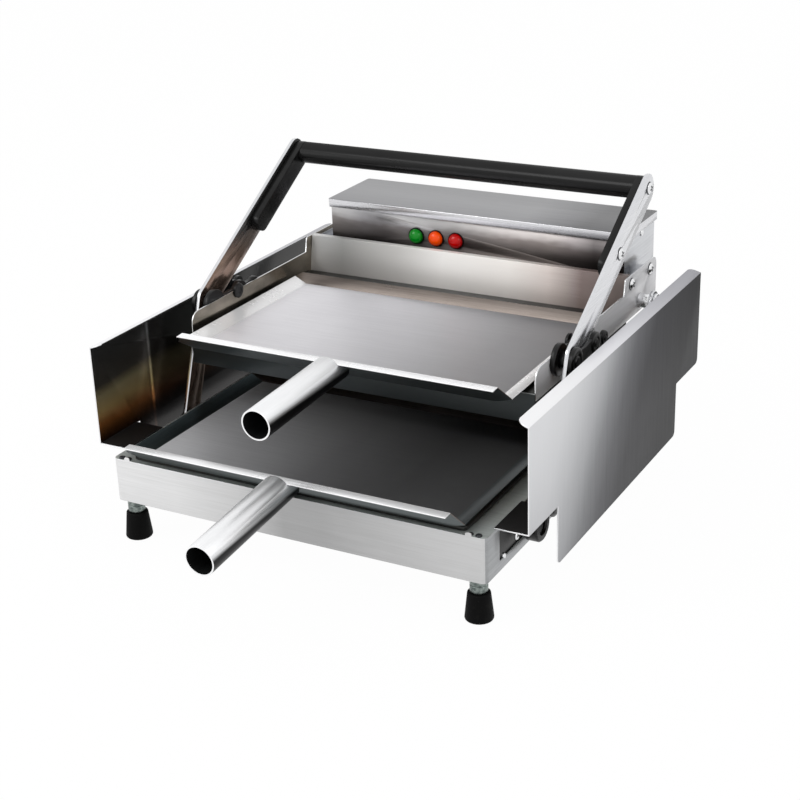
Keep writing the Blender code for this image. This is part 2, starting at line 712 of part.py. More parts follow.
def lever_arm(side):
    """Flat bent bar: a short leg from the base pivot to the elbow, then the long arm."""
    leg_direction = (ELBOW - PIVOT).normalized()
    leg_side = Vector((-leg_direction.y, leg_direction.x)) * LEG_HALF_WIDTH
    arm_side = Vector((-ARM_DIRECTION.y, ARM_DIRECTION.x)) * ARM_HALF_WIDTH
    foot = PIVOT - leg_direction * LEG_HALF_WIDTH
    top = UPPER_SCREW + ARM_DIRECTION * ARM_END
    outer = offset_corner(ELBOW, leg_direction, ARM_DIRECTION, LEG_HALF_WIDTH, ARM_HALF_WIDTH)
    inner = offset_corner(ELBOW, leg_direction, ARM_DIRECTION, -LEG_HALF_WIDTH, -ARM_HALF_WIDTH)
    corners = (
        (*(foot + leg_side), LEG_HALF_WIDTH * LEG_ROUND_SHARE),
        (*outer, ELBOW_OUTER_RADIUS),
        (*(top + arm_side), ARM_HALF_WIDTH * ARM_ROUND_SHARE),
        (*(top - arm_side), ARM_HALF_WIDTH * ARM_ROUND_SHARE),
        (*inner, ELBOW_INNER_RADIUS),
        (*(foot - leg_side), LEG_HALF_WIDTH * LEG_ROUND_SHARE),
    )
    holes = [circle(PIVOT, HOLE_RADIUS), circle(ELBOW, HOLE_RADIUS)]
    holes += [circle(place, SCREW_HOLE_RADIUS) for place in (UPPER_SCREW, LOWER_SCREW)]
    bar = side_plate("lever_arm", [rounded(corners), *holes], side, LEVER_INNER_FACE, LEVER_OUTER_FACE)
    return register(bar, BRIGHT_STEEL, (0, *PIVOT))


def rear_link(side):
    """Straight flat bar, as long between its holes as the lever's leg."""
    direction = (REAR_ELBOW - REAR_PIVOT).normalized()
    across = Vector((-direction.y, direction.x)) * REAR_LINK_HALF_WIDTH
    foot = REAR_PIVOT - direction * REAR_LINK_HALF_WIDTH
    head = REAR_ELBOW + direction * REAR_LINK_HALF_WIDTH
    round_end = REAR_LINK_HALF_WIDTH * LEG_ROUND_SHARE
    points = (foot + across, head + across, head - across, foot - across)
    corners = [(*point, round_end) for point in points]
    holes = [circle(REAR_PIVOT, HOLE_RADIUS), circle(REAR_ELBOW, HOLE_RADIUS)]
    bar = side_plate("rear_link", [rounded(corners), *holes], side, LEVER_INNER_FACE, LEVER_OUTER_FACE)
    return register(bar, BRIGHT_STEEL, (0, *REAR_PIVOT))


def arm_frame(place):
    """Placing whose X runs up the arm and Y across it, for outlines drawn from a point of the arm."""
    tilt = Matrix.Rotation(ARM_RISE, 4, "Z")
    return Matrix.Translation((0, *place)) @ ALONG["X"] @ tilt


def handle():
    """One moulding: the bar across, and a leg down the inner face of each arm."""
    inner = LEVER_INNER_FACE - GAP
    half_size = Vector((HANDLE_WIDTH, HANDLE_HEIGHT)) / 2
    section = rectangle(-half_size, half_size, HANDLE_CORNER)
    middle = arm_frame(UPPER_SCREW)
    bar = extruded("handle", [section], 2 * inner, middle @ Matrix.Translation((0, 0, -inner)))
    half_leg = HANDLE_LEG_WIDTH / 2
    end = SCREW_PITCH + HANDLE_LEG_BEYOND
    leg = rectangle((-end, -half_leg), (half_size.x, half_leg), half_leg * HANDLE_LEG_ROUND_SHARE)
    for side in (-1, 1):
        start = inner - HANDLE_LEG_THICK if side > 0 else -inner
        shifted = middle @ Matrix.Translation((0, 0, start))
        join(bar, extruded(side_name("handle_leg", side), [leg], HANDLE_LEG_THICK, shifted))
    for side in (-1, 1):
        start = inner - SCREW_BITE - GAP if side > 0 else -inner - OVERRUN
        for label, place in (("upper", 0), ("lower", -SCREW_PITCH)):
            hole = circle((place, 0), SCREW_HOLE_RADIUS)
            shifted = middle @ Matrix.Translation((0, 0, start))
            depth = SCREW_BITE + GAP + OVERRUN
            cut(bar, extruded(side_name("screw_hole_" + label, side), [hole], depth, shifted))
    return register(bar, BLACK_PLASTIC, (0, *UPPER_SCREW))


def domed_head(face):
    """Profile of a domed screw head that stands on a face."""
    dome_radius, dome_height = SCREW_DOME_SHARES
    return [
        (0, face + SCREW_HEAD_THICK),
        (SCREW_HEAD_RADIUS * dome_radius, face + SCREW_HEAD_THICK * dome_height),
        (SCREW_HEAD_RADIUS, face + SCREW_HEAD_THICK * SCREW_EDGE_SHARE),
        (SCREW_HEAD_RADIUS, face),
    ]


def handle_screw(side, label, place):
    face = LEVER_OUTER_FACE + GAP
    tip = LEVER_INNER_FACE - GAP - SCREW_BITE
    profile = [
        *domed_head(face),
        *shank(tip, face, SCREW_RADIUS),
        (0, tip),
    ]
    name = side_name("handle_screw_" + label, side)
    made = turned(name, profile, (side, 0, 0), (0, place.x, place.y), HOLE_STEPS)
    return register_turned(made, ZINC)


def tab_screw(side, label, place):
    """Screw through the side plate's tab and the control box's flange, with its nut inside."""
    face = DECK_OUTER_HALF_WIDTH + GAP
    nut = DECK_FILL_HALF_WIDTH - THIN_SHEET - GAP
    profile = [
        *domed_head(face),
        *shank(nut, face, SCREW_RADIUS),
        *shank(nut - SCREW_NUT_THICK, nut, SCREW_NUT_RADIUS),
        (0, nut - SCREW_NUT_THICK),
    ]
    name = side_name("tab_screw_" + label, side)
    made = turned(name, profile, (side, 0, 0), (0, place, BOX_FLOOR + TAB_SCREW_HEIGHT), HOLE_STEPS)
    return register_turned(made, ZINC)


def deck_side(side):
    """Side plate: a low guard along the tray, and a raised tab behind it for the control box."""
    corners = (
        (SIDE_FRONT, SIDE_BOTTOM, 0),
        (SIDE_FRONT, SIDE_TOP, SIDE_FRONT_RADIUS),
        (TAB_START, SIDE_TOP, 0),
        (TAB_START + TAB_RAMP, TAB_TOP, TAB_RAMP),
        (SIDE_REAR, TAB_TOP, TAB_RADIUS),
        (SIDE_REAR, SIDE_BOTTOM, 0),
    )
    screw_height = BOX_FLOOR + TAB_SCREW_HEIGHT
    holes = [circle((place, screw_height), SCREW_HOLE_RADIUS) for place in TAB_SCREW_PLACES]
    holes.append(circle(REAR_ELBOW, HOLE_RADIUS))
    outlines = [rounded(corners), *holes]
    plate = side_plate("deck_side", outlines, side, DECK_INNER_HALF_WIDTH, DECK_OUTER_HALF_WIDTH)
    return register(plate, STAINLESS, (0, *ELBOW))


def deck_fascia():
    """Strip across the deck's front, returned along both sides under the side plates."""
    half = DECK_OUTER_HALF_WIDTH
    strip_rear = DECK_FRONT + THIN_SHEET
    face = block("deck_fascia", (-half, DECK_FRONT, DECK_PAN_BOTTOM), (half, strip_rear, DECK_TOP))
    skirt = rectangle((DECK_FRONT, DECK_PAN_BOTTOM), (DECK_REAR, SIDE_BOTTOM - GAP))
    for side in (-1, 1):
        join(face, side_plate("fascia_return", [skirt], side, half - THIN_SHEET, half))
    return register(face, PLATE_STEEL, (0, *ELBOW))


def deck_heating_plate():
    half = DECK_FILL_HALF_WIDTH
    outline = rectangle((-half, DECK_INSIDE_FRONT), (half, DECK_REAR), PLATE_CORNER)
    return register(
        prism("deck_heating_plate", [outline], "Z", DECK_PLATE_BOTTOM, DECK_TOP), PLATE_STEEL, (0, *ELBOW)
    )


def deck_pan():
    """Shallow pan under the deck's element, which throws its heat up and down."""
    half = DECK_FILL_HALF_WIDTH
    wall = THIN_SHEET
    outer = rectangle((-half, DECK_INSIDE_FRONT), (half, DECK_REAR), PLATE_CORNER)
    inner = rectangle(
        (wall - half, DECK_INSIDE_FRONT + wall), (half - wall, DECK_REAR - wall), PLATE_CORNER - wall
    )
    pan = prism("deck_pan", [outer], "Z", DECK_PAN_BOTTOM, DECK_PAN_TOP)
    cut(pan, prism("deck_pan_inside", [inner], "Z", DECK_PAN_BOTTOM + wall, DECK_PAN_TOP + OVERRUN))
    return register(pan, PLATE_STEEL, (0, *ELBOW))


def deck_heater():
    element = heating_element("deck_heater", DECK_FRONT, DECK_REAR, DECK_PAN_TOP)
    return register(element, ELEMENT, (0, *ELBOW))


def deck_back_panel():
    """Upright sheet behind the upper tray, leaning back a little, with a fold at its top."""
    wall = THIN_SHEET
    front = BACK_PANEL_FRONT
    lean = BACK_PANEL_LEAN
    outline = (
        (front, DECK_PAN_BOTTOM),
        (front + wall, DECK_PAN_BOTTOM),
        (front + wall, DECK_TOP),
        (front + wall + lean, TAB_TOP - wall),
        (front + lean + BACK_PANEL_FOLD, TAB_TOP - wall),
        (front + lean + BACK_PANEL_FOLD, TAB_TOP),
        (front + lean, TAB_TOP),
        (front, DECK_TOP),
    )
    half = DECK_FILL_HALF_WIDTH
    return register(prism("deck_back_panel", [outline], "X", -half, half), STAINLESS, (0, *ELBOW))


def dog_bone(places, height, radii, neck):
    """Outline of a bar with a round boss at each place, joined by necks of half width neck."""
    upper = []
    last = len(places) - 1
    for index, (place, radius) in enumerate(zip(places, radii)):
        shoulder = math.asin(neck / radius)
        start = math.pi if index == 0 else math.pi - shoulder
        end = 0 if index == last else shoulder
        upper += arc((place, height), radius, start, end, 2 * ARC_STEPS)
    lower = [(u, 2 * height - v) for u, v in reversed(upper[1:-1])]
    return upper + lower


def link_plate(side):
    """Black plate of three bosses on the deck's side plate, whose front boss holds the elbow bolt."""
    bosses = [ELBOW.x, *(ELBOW.x + step for step in LINK_PLATE_STEPS)]
    outline = dog_bone(bosses, ELBOW.y, LINK_PLATE_RADII, LINK_PLATE_NECK)
    inner = DECK_OUTER_HALF_WIDTH + GAP
    plate = side_plate(
        "link_plate", [outline, circle(ELBOW, HOLE_RADIUS)], side, inner, inner + LINK_PLATE_THICK
    )
    return register(plate, BLACK_STEEL, (0, *ELBOW))


def control_box():
    """Open-topped box on a floor that reaches the side plates and turns up there as flanges."""
    wall = THIN_SHEET
    half = BOX_HALF_WIDTH
    box = block("control_box", (-half, BOX_FRONT, BOX_FLOOR), (half, BOX_REAR, BOX_TOP))
    floor_half = DECK_FILL_HALF_WIDTH
    floor_front = BOX_FRONT - BOX_FLOOR_REACH
    floor_rear = SIDE_REAR + FLANGE_BEYOND
    join(box, block(
        "box_floor", (-floor_half, floor_front, BOX_FLOOR), (floor_half, floor_rear, BOX_FLOOR + wall)
    ))
    screw_height = BOX_FLOOR + TAB_SCREW_HEIGHT
    holes = [circle((place, screw_height), SCREW_HOLE_RADIUS) for place in TAB_SCREW_PLACES]
    flange = rectangle((floor_front, BOX_FLOOR), (floor_rear, BOX_FLOOR + FLANGE_RISE))
    for side in (-1, 1):
        join(box, side_plate("box_flange", [flange, *holes], side, floor_half - wall, floor_half))
    cut(box, block(
        "box_inside", (wall - half, BOX_FRONT + wall, BOX_FLOOR + wall),
        (half - wall, BOX_REAR - wall, BOX_TOP + OVERRUN)
    ))
    lamp_height = BOX_FLOOR + LAMP_HEIGHT
    for index, place in enumerate(LAMP_PLACES):
        hole = circle((place, lamp_height), LAMP_STEM_RADIUS + RUNNING_CLEARANCE)
        cut(box, prism(f"lamp_hole_{index}", [hole], "Y", BOX_FRONT - OVERRUN, BOX_FRONT + wall + OVERRUN))
    low, high = switch_body_corners(GAP)
    cut(box, block(
        "switch_hole", (low[0], BOX_REAR - wall - OVERRUN, low[1]), (high[0], BOX_REAR + OVERRUN, high[1])
    ))
    return register(box, STAINLESS, (0, *ELBOW))


def switch_body_corners(margin):
    """Low and high corner, across X and Z, of the switch body with a margin round it."""
    middle = Vector((SWITCH_PLACE, BOX_TOP - SWITCH_DROP))
    half = Vector((SWITCH_WIDTH / 2 + margin, SWITCH_HEIGHT / 2 + margin))
    return middle - half, middle + half


def switch_axis():
    """Where the rocker's axis stands, as (y, z)."""
    return Vector((BOX_REAR + SHEET - ROCKER_PROUD, BOX_TOP - SWITCH_DROP))


def switch_housing():
    """Snap-in switch body with a bezel outside the rear wall and a well for the rocker."""
    low, high = switch_body_corners(0)
    outer = BOX_REAR + GAP
    bezel_low, bezel_high = switch_body_corners(SWITCH_BEZEL)
    body = block(
        "switch_housing", (low[0], BOX_REAR - SWITCH_BODY_DEPTH, low[1]), (high[0], outer + SHEET, high[1])
    )
    join(body, block(
        "switch_bezel", (bezel_low[0], outer, bezel_low[1]), (bezel_high[0], outer + SHEET, bezel_high[1])
    ))
    axis = switch_axis()
    half_well = ROCKER_RADIUS + ROCKER_CLEARANCE
    half_width = SWITCH_WIDTH / 2 - SHEET
    cut(body, block(
        "switch_well",
        (SWITCH_PLACE - half_width, axis.x - half_well, axis.y - half_well),
        (SWITCH_PLACE + half_width, outer + SHEET + OVERRUN, axis.y + half_well)
    ))
    return register(body, BLACK_PLASTIC, (0, *ELBOW))


def switch_rocker():
    """Rocker with a round back and two sloping faces, drawn with its upper half pressed."""
    axis = switch_axis()
    back = arc((0, 0), ROCKER_RADIUS, ROCKER_EDGE, math.tau - ROCKER_EDGE, 3 * ARC_STEPS)
    outline = [(ROCKER_PROUD - ROCKER_DIP, 0), *back]
    turn = Matrix.Rotation(ROCKER_TILT, 2)
    placed = [axis + turn @ Vector(point) for point in outline]
    half_width = SWITCH_WIDTH / 2 - SHEET - GAP
    rocker = prism("switch_rocker", [placed], "X", SWITCH_PLACE - half_width, SWITCH_PLACE + half_width)
    return register(rocker, BLACK_PLASTIC, (SWITCH_PLACE, *axis))


def control_box_lid():
    """Folded lid that hangs over the box all round."""
    wall = THIN_SHEET
    reach = LID_OVERHANG
    half = BOX_HALF_WIDTH + reach
    outline = rectangle((-half, BOX_FRONT - reach), (half, BOX_REAR + reach), LID_CORNER)
    lid = prism("control_box_lid", [outline], "Z", LID_TOP - LID_LIP, LID_TOP)
    inner = rectangle(
        (wall - half, BOX_FRONT - reach + wall), (half - wall, BOX_REAR + reach - wall), LID_CORNER - wall
    )
    cut(lid, prism("lid_inside", [inner], "Z", LID_TOP - LID_LIP - OVERRUN, LID_TOP - wall))
    return register(lid, STAINLESS, (0, *ELBOW))


def lamp(name, place):
    """Domed lens with a rim against the box and a stem behind it."""
    rim = THIN_SHEET
    dome = [
        (LAMP_RADIUS * math.sin(a), rim + LAMP_DOME * math.cos(a))
        for a in (math.pi / 2 * i / ARC_STEPS for i in range(ARC_STEPS + 1))
    ]
    profile = [
        (0, dome[0][1]),
        *dome[1:],
        (LAMP_RADIUS, 0),
        *shank(-LAMP_STEM_LENGTH, 0, LAMP_STEM_RADIUS),
        (0, -LAMP_STEM_LENGTH),
    ]
    centre = (place, BOX_FRONT - GAP, BOX_FLOOR + LAMP_HEIGHT)
    return register_turned(turned(name, profile, (0, -1, 0), centre), LENSES[name])


def thermostat():
    """Round thermostat body on the control box's floor."""
    bottom = BOX_FLOOR + THIN_SHEET + GAP
    step = THERMOSTAT_HEIGHT / 3
    profile = [
        (0, THERMOSTAT_HEIGHT),
        (THERMOSTAT_RADIUS / 3, THERMOSTAT_HEIGHT),
        (THERMOSTAT_RADIUS / 3, THERMOSTAT_HEIGHT - step),
        (THERMOSTAT_RADIUS, THERMOSTAT_HEIGHT - step),
        (THERMOSTAT_RADIUS, 0),
        (0, 0),
    ]
    centre = (THERMOSTAT_PLACE, (BOX_FRONT + BOX_REAR) / 2, bottom)
    return register_turned(turned("thermostat", profile, (0, 0, 1), centre), CERAMIC)


def tray_surface(name, lip_place, floor_height):
    """Pan of one sheet: flat floor, low flared sides and rear, high front wall with a flange."""
    front = lip_place + TRAY_LIP_REACH
    rear = front + TRAY_DEPTH
    rim_front = front - TRAY_LIP_REACH * TRAY_RIM_RISE / TRAY_LIP_RISE
    rim_rear = rear + TRAY_REAR_REACH * TRAY_RIM_RISE / TRAY_REAR_RISE
    rows = (
        (TRAY_LIP_HALF_WIDTH, lip_place - TRAY_FLANGE, TRAY_LIP_RISE - TRAY_FLANGE_DROOP),
        (TRAY_LIP_HALF_WIDTH, lip_place, TRAY_LIP_RISE),
        (TRAY_RIM_HALF_WIDTH, rim_front, TRAY_RIM_RISE),
        (TRAY_FLOOR_HALF_WIDTH, front, 0),
        (TRAY_FLOOR_HALF_WIDTH, rear, 0),
        (TRAY_RIM_HALF_WIDTH, rim_rear, TRAY_RIM_RISE),
        (TRAY_RIM_HALF_WIDTH - TRAY_REAR_TAPER, rear + TRAY_REAR_REACH, TRAY_REAR_RISE),
    )
    shape = bmesh.new()
    left = [shape.verts.new((-x, y, floor_height + z)) for x, y, z in rows]
    right = [shape.verts.new((x, y, floor_height + z)) for x, y, z in rows]
    for near, far in zip(range(len(rows) - 1), range(1, len(rows))):
        shape.faces.new((left[near], right[near], right[far], left[far]))
    shape.faces.new((right[2], right[5], right[4], right[3]))
    shape.faces.new((left[2], left[3], left[4], left[5]))
    bmesh.ops.recalc_face_normals(shape, faces=shape.faces)
    mesh = bpy.data.meshes.new(name)
    shape.to_mesh(mesh)
    shape.free()
    return bpy.data.objects.new(name, mesh)


def tray(name, lip_place, floor_height):
    pan = tray_surface(name, lip_place, floor_height)
    upward = pan.data.polygons[3].normal.z > 0
    sheet = pan.modifiers.new("sheet", "SOLIDIFY")
    sheet.thickness = TRAY_SHEET
    sheet.offset = 1 if upward else -1
    sheet.use_even_offset = True
    return register(pan, STAINLESS, (0, lip_place, floor_height))


def tray_handle(name, lip_place, floor_height, slope, face_behind):
    """Round tube that ends at the flange's edge, and runs on under it to the front wall."""
    wall_top = floor_height + TRAY_LIP_RISE
    run = Vector((0, -math.cos(slope), -math.sin(slope)))
    back = TRAY_LIP_REACH / math.cos(slope)
    start = Vector((0, lip_place, floor_height + TUBE_RISE)) - run * back
    length = back + TUBE_REACH / math.cos(slope)
    outer = circle((0, 0), TUBE_RADIUS, FINE_STEPS)
    inner = circle((0, 0), TUBE_RADIUS - TUBE_WALL, FINE_STEPS)
    aim = Vector((0, 0, 1)).rotation_difference(run).to_matrix().to_4x4()
    tube = extruded(name, [outer, inner], length, Matrix.Translation(start) @ aim)
    lean = TRAY_LIP_REACH / TRAY_LIP_RISE
    square_end = min(lip_place + TRAY_LIP_REACH, face_behind) - TUBE_STAND_OFF
    flange_bottom = wall_top - TRAY_FLANGE_DROOP - TUBE_STAND_OFF
    flange_front = lip_place - TRAY_FLANGE - TUBE_STAND_OFF
    wall_front = lip_place + (wall_top - flange_bottom) * lean - TUBE_STAND_OFF
    turn_height = wall_top - (square_end + TUBE_STAND_OFF - lip_place) / lean
    deep = 3 * TUBE_RADIUS
    behind = (
        (square_end, turn_height),
        (square_end, wall_top - deep),
        (lip_place + deep, wall_top - deep),
        (lip_place + deep, wall_top + deep),
        (flange_front, wall_top + deep),
        (flange_front, flange_bottom),
        (wall_front, flange_bottom),
    )
    reach = TUBE_RADIUS + OVERRUN
    cut(tube, prism(name + "_end_cut", [behind], "X", -reach, reach))
    return register(tube, STAINLESS, (0, lip_place, floor_height))


def wing(side):
    """Outer wing: stepped plate, top flange leaning inward, and feet folded onto the base's top."""
    flange = Vector((-WING_FLANGE_IN, WING_FLANGE_UP))
    downward = Vector((-flange.y, flange.x)).normalized() * SHEET
    edge = Vector((WING_HALF_WIDTH, WING_TOP))
    tip = edge + flange
    fold = edge + downward
    inner = WING_HALF_WIDTH - SHEET
    fold_height = fold.y + (inner - fold.x) * flange.y / flange.x
    section = (
        (WING_HALF_WIDTH, WING_SKIRT_BOTTOM),
        tuple(edge),
        tuple(tip),
        tuple(tip + downward),
        (inner, fold_height),
        (inner, WING_SKIRT_BOTTOM),
    )
    section = [(side * x, z) for x, z in section]
    made = prism(side_name("wing", side), [section], "Y", WING_FRONT - OVERRUN, WING_REAR + OVERRUN)
    foot_bottom = BASE_TOP + GAP
    above = tip.y + OVERRUN
    silhouette = (
        (WING_FRONT, foot_bottom, 0),
        (WING_SKIRT_FRONT, foot_bottom, 0),
        (WING_SKIRT_FRONT, WING_SKIRT_BOTTOM, WING_CORNER),
        (WING_SKIRT_REAR, WING_SKIRT_BOTTOM, WING_CORNER),
        (WING_SKIRT_REAR, foot_bottom, 0),
        (WING_REAR, foot_bottom, WING_CORNER),
        (WING_REAR, above, 0),
        (WING_FRONT, above, 0),
    )
    low, high = sorted((side * (tip.x - OVERRUN), side * (WING_HALF_WIDTH + OVERRUN)))
    keep(made, prism(side_name("wing_silhouette", side), [rounded(silhouette)], "X", low, high))
    plan = (
        (side * (WING_HALF_WIDTH + OVERRUN), WING_FRONT, 0),
        (side * (WING_HALF_WIDTH + OVERRUN), WING_REAR, 0),
        (side * tip.x, WING_REAR, WING_FLANGE_RADIUS),
        (side * tip.x, WING_FRONT, WING_FLANGE_RADIUS),
    )
    bottom = WING_SKIRT_BOTTOM - OVERRUN
    keep(made, prism(side_name("wing_plan", side), [rounded(plan)], "Z", bottom, above))
    grip = BASE_HALF_WIDTH - WING_FOOT_GRIP
    ends = (
        ("front", WING_FRONT, WING_SKIRT_FRONT - WING_FOOT_MARGIN),
        ("rear", WING_SKIRT_REAR + WING_FOOT_MARGIN, BASE_DEPTH - WING_FOOT_MARGIN),
    )
    for label, start, end in ends:
        x_low, x_high = sorted((side * grip, side * (WING_HALF_WIDTH - SHEET / 2)))
        low = (x_low, start, foot_bottom)
        join(made, block(side_name("wing_foot_" + label, side), low, (x_high, end, foot_bottom + SHEET)))
    return register(made, STAINLESS)


def foot(place, name):
    """Zinc ferrule whose stem stands in a tapered rubber boot."""
    socket_radius = FERRULE_STEM_RADIUS + RUNNING_CLEARANCE
    socket_floor = BOOT_HEIGHT - SOCKET_DEPTH
    boot = [
        (0, socket_floor),
        (socket_radius, socket_floor),
        (socket_radius, BOOT_HEIGHT),
        (BOOT_TOP_RADIUS - BOOT_EDGE / 2, BOOT_HEIGHT),
        (BOOT_TOP_RADIUS, BOOT_HEIGHT - BOOT_EDGE),
        (BOOT_BOTTOM_RADIUS, BOOT_EDGE),
        (BOOT_BOTTOM_RADIUS - BOOT_EDGE, 0),
        (0, 0),
    ]
    register_turned(turned("boot_" + name, boot, (0, 0, 1), (*place, 0), ROUND_STEPS), RUBBER)
    shoulder = BOOT_HEIGHT + GAP
    middle = (shoulder + BASE_CLEARANCE) / 2
    groove = FERRULE_RADIUS - FERRULE_GROOVE
    ferrule = [
        (0, BASE_CLEARANCE - GAP),
        (FERRULE_RADIUS, BASE_CLEARANCE - GAP),
        (FERRULE_RADIUS, middle + FERRULE_GROOVE),
        (groove, middle),
        (FERRULE_RADIUS, middle - FERRULE_GROOVE),
        (FERRULE_RADIUS, shoulder),
        (FERRULE_STEM_RADIUS, shoulder),
        (FERRULE_STEM_RADIUS, socket_floor + GAP),
        (0, socket_floor + GAP),
    ]
    register_turned(turned("ferrule_" + name, ferrule, (0, 0, 1), (*place, 0), ROUND_STEPS), ZINC)


def cable_gland():
    """Gland through the base's rear wall, nut inside, with a bore for the mains lead."""
    inner_nut = -SHEET - GAP
    profile = [
        (GLAND_BORE_RADIUS, GLAND_COLLAR + GLAND_LENGTH),
        (GLAND_NECK_RADIUS * GLAND_MOUTH_SHARE, GLAND_COLLAR + GLAND_LENGTH),
        (GLAND_NECK_RADIUS, GLAND_COLLAR),
        (GLAND_RADIUS, GLAND_COLLAR),
        (GLAND_RADIUS, GAP),
        (GLAND_NECK_RADIUS, GAP),
        (GLAND_NECK_RADIUS, inner_nut),
        (GLAND_RADIUS, inner_nut),
        (GLAND_RADIUS, inner_nut - GLAND_COLLAR),
        (GLAND_BORE_RADIUS, inner_nut - GLAND_COLLAR),
    ]
    place = (GLAND_PLACE, BASE_DEPTH, BASE_CLEARANCE + GLAND_RISE)
    made = turned("cable_gland", profile, (0, 1, 0), place)
    return register_turned(made, BLACK_PLASTIC)


def terminal_block():
    """Ceramic block with wire slots, on the bottom cover."""
    length, width, height = BLOCK_SIZE
    bottom = BASE_CLEARANCE + THIN_SHEET + GAP
    rear = BASE_DEPTH - BLOCK_INSET + width / 2
    low = (BLOCK_PLACE - length / 2, rear - width, bottom)
    made = block("terminal_block", low, (BLOCK_PLACE + length / 2, rear, bottom + height))
    pitch = length / BLOCK_SLOT_COUNT
    for index in range(BLOCK_SLOT_COUNT):
        middle = low[0] + (2 * index + 1) * pitch / 2
        cut(made, block(
            f"block_slot_{index}",
            (middle - BLOCK_SLOT / 2, low[1] - OVERRUN, bottom + height - BLOCK_SLOT_DEPTH),
            (middle + BLOCK_SLOT / 2, low[1] + width + OVERRUN, bottom + height + OVERRUN)
        ))
    return register(made, CERAMIC)


base_shell()
base_bottom_cover()
lower_heating_plate()
lower_heater()
cable_gland()
terminal_block()
for end_name, end_place in (("front", FOOT_END_INSET), ("rear", BASE_DEPTH - FOOT_END_INSET)):
    for hand in (-1, 1):
        across = hand * (BASE_HALF_WIDTH - FOOT_SIDE_INSET)
        foot((across, end_place), side_name(end_name, hand))
deck_fascia()
deck_heating_plate()
deck_pan()
deck_heater()
deck_back_panel()
control_box()
control_box_lid()
switch_housing()
switch_rocker()
thermostat()
for lens_name, lens_place in zip(LENSES, LAMP_PLACES):
    lamp(lens_name, lens_place)
for hand in (-1, 1):
    wing(hand)
    pivot_plate(hand)
    lever_pivot_bolt(hand)
    rear_pivot_bolt(hand)
    elbow_bolt(hand)
    rear_link_pin(hand)
    lever_arm(hand)
    rear_link(hand)
    deck_side(hand)
    link_plate(hand)
    handle_screw(hand, "upper", UPPER_SCREW)
    handle_screw(hand, "lower", LOWER_SCREW)
    for tab_end, tab_place in zip(("front", "rear"), TAB_SCREW_PLACES):
        tab_screw(hand, tab_end, tab_place)
handle()
for deck_name, lip, floor, tilt, face in (
    ("lower", LOWER_LIP_PLACE, LOWER_TRAY_FLOOR, LOWER_TUBE_SLOPE, 0),
    ("upper", UPPER_LIP_PLACE, UPPER_TRAY_FLOOR, UPPER_TUBE_SLOPE, DECK_FRONT),
):
    tray(deck_name + "_tray", lip, floor)
    tray_handle(deck_name + "_tray_handle", lip, floor, tilt, face)
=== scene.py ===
import json
import math

import bmesh
import bpy
from mathutils import Matrix, Vector

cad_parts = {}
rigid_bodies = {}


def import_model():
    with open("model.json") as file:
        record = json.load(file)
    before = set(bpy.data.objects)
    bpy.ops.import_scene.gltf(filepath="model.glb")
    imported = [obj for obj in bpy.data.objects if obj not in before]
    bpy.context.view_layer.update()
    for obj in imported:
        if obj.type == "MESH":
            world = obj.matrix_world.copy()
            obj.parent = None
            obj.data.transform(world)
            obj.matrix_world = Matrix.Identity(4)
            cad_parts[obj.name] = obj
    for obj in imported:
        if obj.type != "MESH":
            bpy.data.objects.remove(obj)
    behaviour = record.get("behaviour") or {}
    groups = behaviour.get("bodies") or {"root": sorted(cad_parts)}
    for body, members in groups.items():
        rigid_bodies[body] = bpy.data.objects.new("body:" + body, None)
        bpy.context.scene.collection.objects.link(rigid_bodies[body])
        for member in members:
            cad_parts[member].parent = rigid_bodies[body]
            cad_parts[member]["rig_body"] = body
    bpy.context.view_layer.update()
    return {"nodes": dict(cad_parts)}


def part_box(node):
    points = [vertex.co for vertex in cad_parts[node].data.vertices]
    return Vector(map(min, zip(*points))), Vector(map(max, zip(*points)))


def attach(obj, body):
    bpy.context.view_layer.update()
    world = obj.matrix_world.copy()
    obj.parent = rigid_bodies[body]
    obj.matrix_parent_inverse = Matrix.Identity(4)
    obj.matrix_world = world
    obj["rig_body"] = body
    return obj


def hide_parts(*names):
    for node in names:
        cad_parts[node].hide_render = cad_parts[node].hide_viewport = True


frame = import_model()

# The camera looks down on the grill from its front right, with a long lens.
# Its place, its turn and its lens were fitted to the corners of the base, the trays and the wings.
eye = Vector((0.78138, -1.34975, 0.78469))
rightward = Vector((0.87948, 0.47490, -0.03153)).normalized()
backward = rightward.cross(Vector((-0.15956, 0.35661, 0.92052))).normalized()
upward = backward.cross(rightward)
camera = bpy.data.objects.new("camera", bpy.data.cameras.new("camera"))
camera.data.sensor_width = 36
camera.data.lens = 71.517
camera.data.clip_start = 0.05
camera_turn = Matrix((rightward, upward, backward)).transposed()
camera.matrix_world = Matrix.Translation(eye) @ camera_turn.to_4x4()
bpy.context.scene.collection.objects.link(camera)
bpy.context.scene.camera = camera
bpy.context.scene.view_settings.view_transform = "Standard"


# The studio floor is a wide sheet of matt white that runs far behind the grill.
# The camera and bright metal see it as plain white, and it still keeps the grill's soft shadow.
class Wire:
    """One output of a node, on which Python's operators add Math nodes."""

    def __init__(self, nodes, socket):
        self.nodes = nodes
        self.socket = socket

    def maths(self, operation, *others):
        return self.nodes.add("Math", {"operation": operation}, dict(enumerate((self, *others))))

    def reflected(self, operation, other):
        return self.nodes.add("Math", {"operation": operation}, {0: other, 1: self})

    def __add__(self, other):
        return self.maths("ADD", other)

    def __sub__(self, other):
        return self.maths("SUBTRACT", other)

    def __mul__(self, other):
        return self.maths("MULTIPLY", other)

    def __radd__(self, other):
        return self.reflected("ADD", other)

    def __rsub__(self, other):
        return self.reflected("SUBTRACT", other)

    def __rmul__(self, other):
        return self.reflected("MULTIPLY", other)

    def between(self, low, high):
        """A value that runs from low to high as this one runs from 0 to 1."""
        return self * (high - low) + low


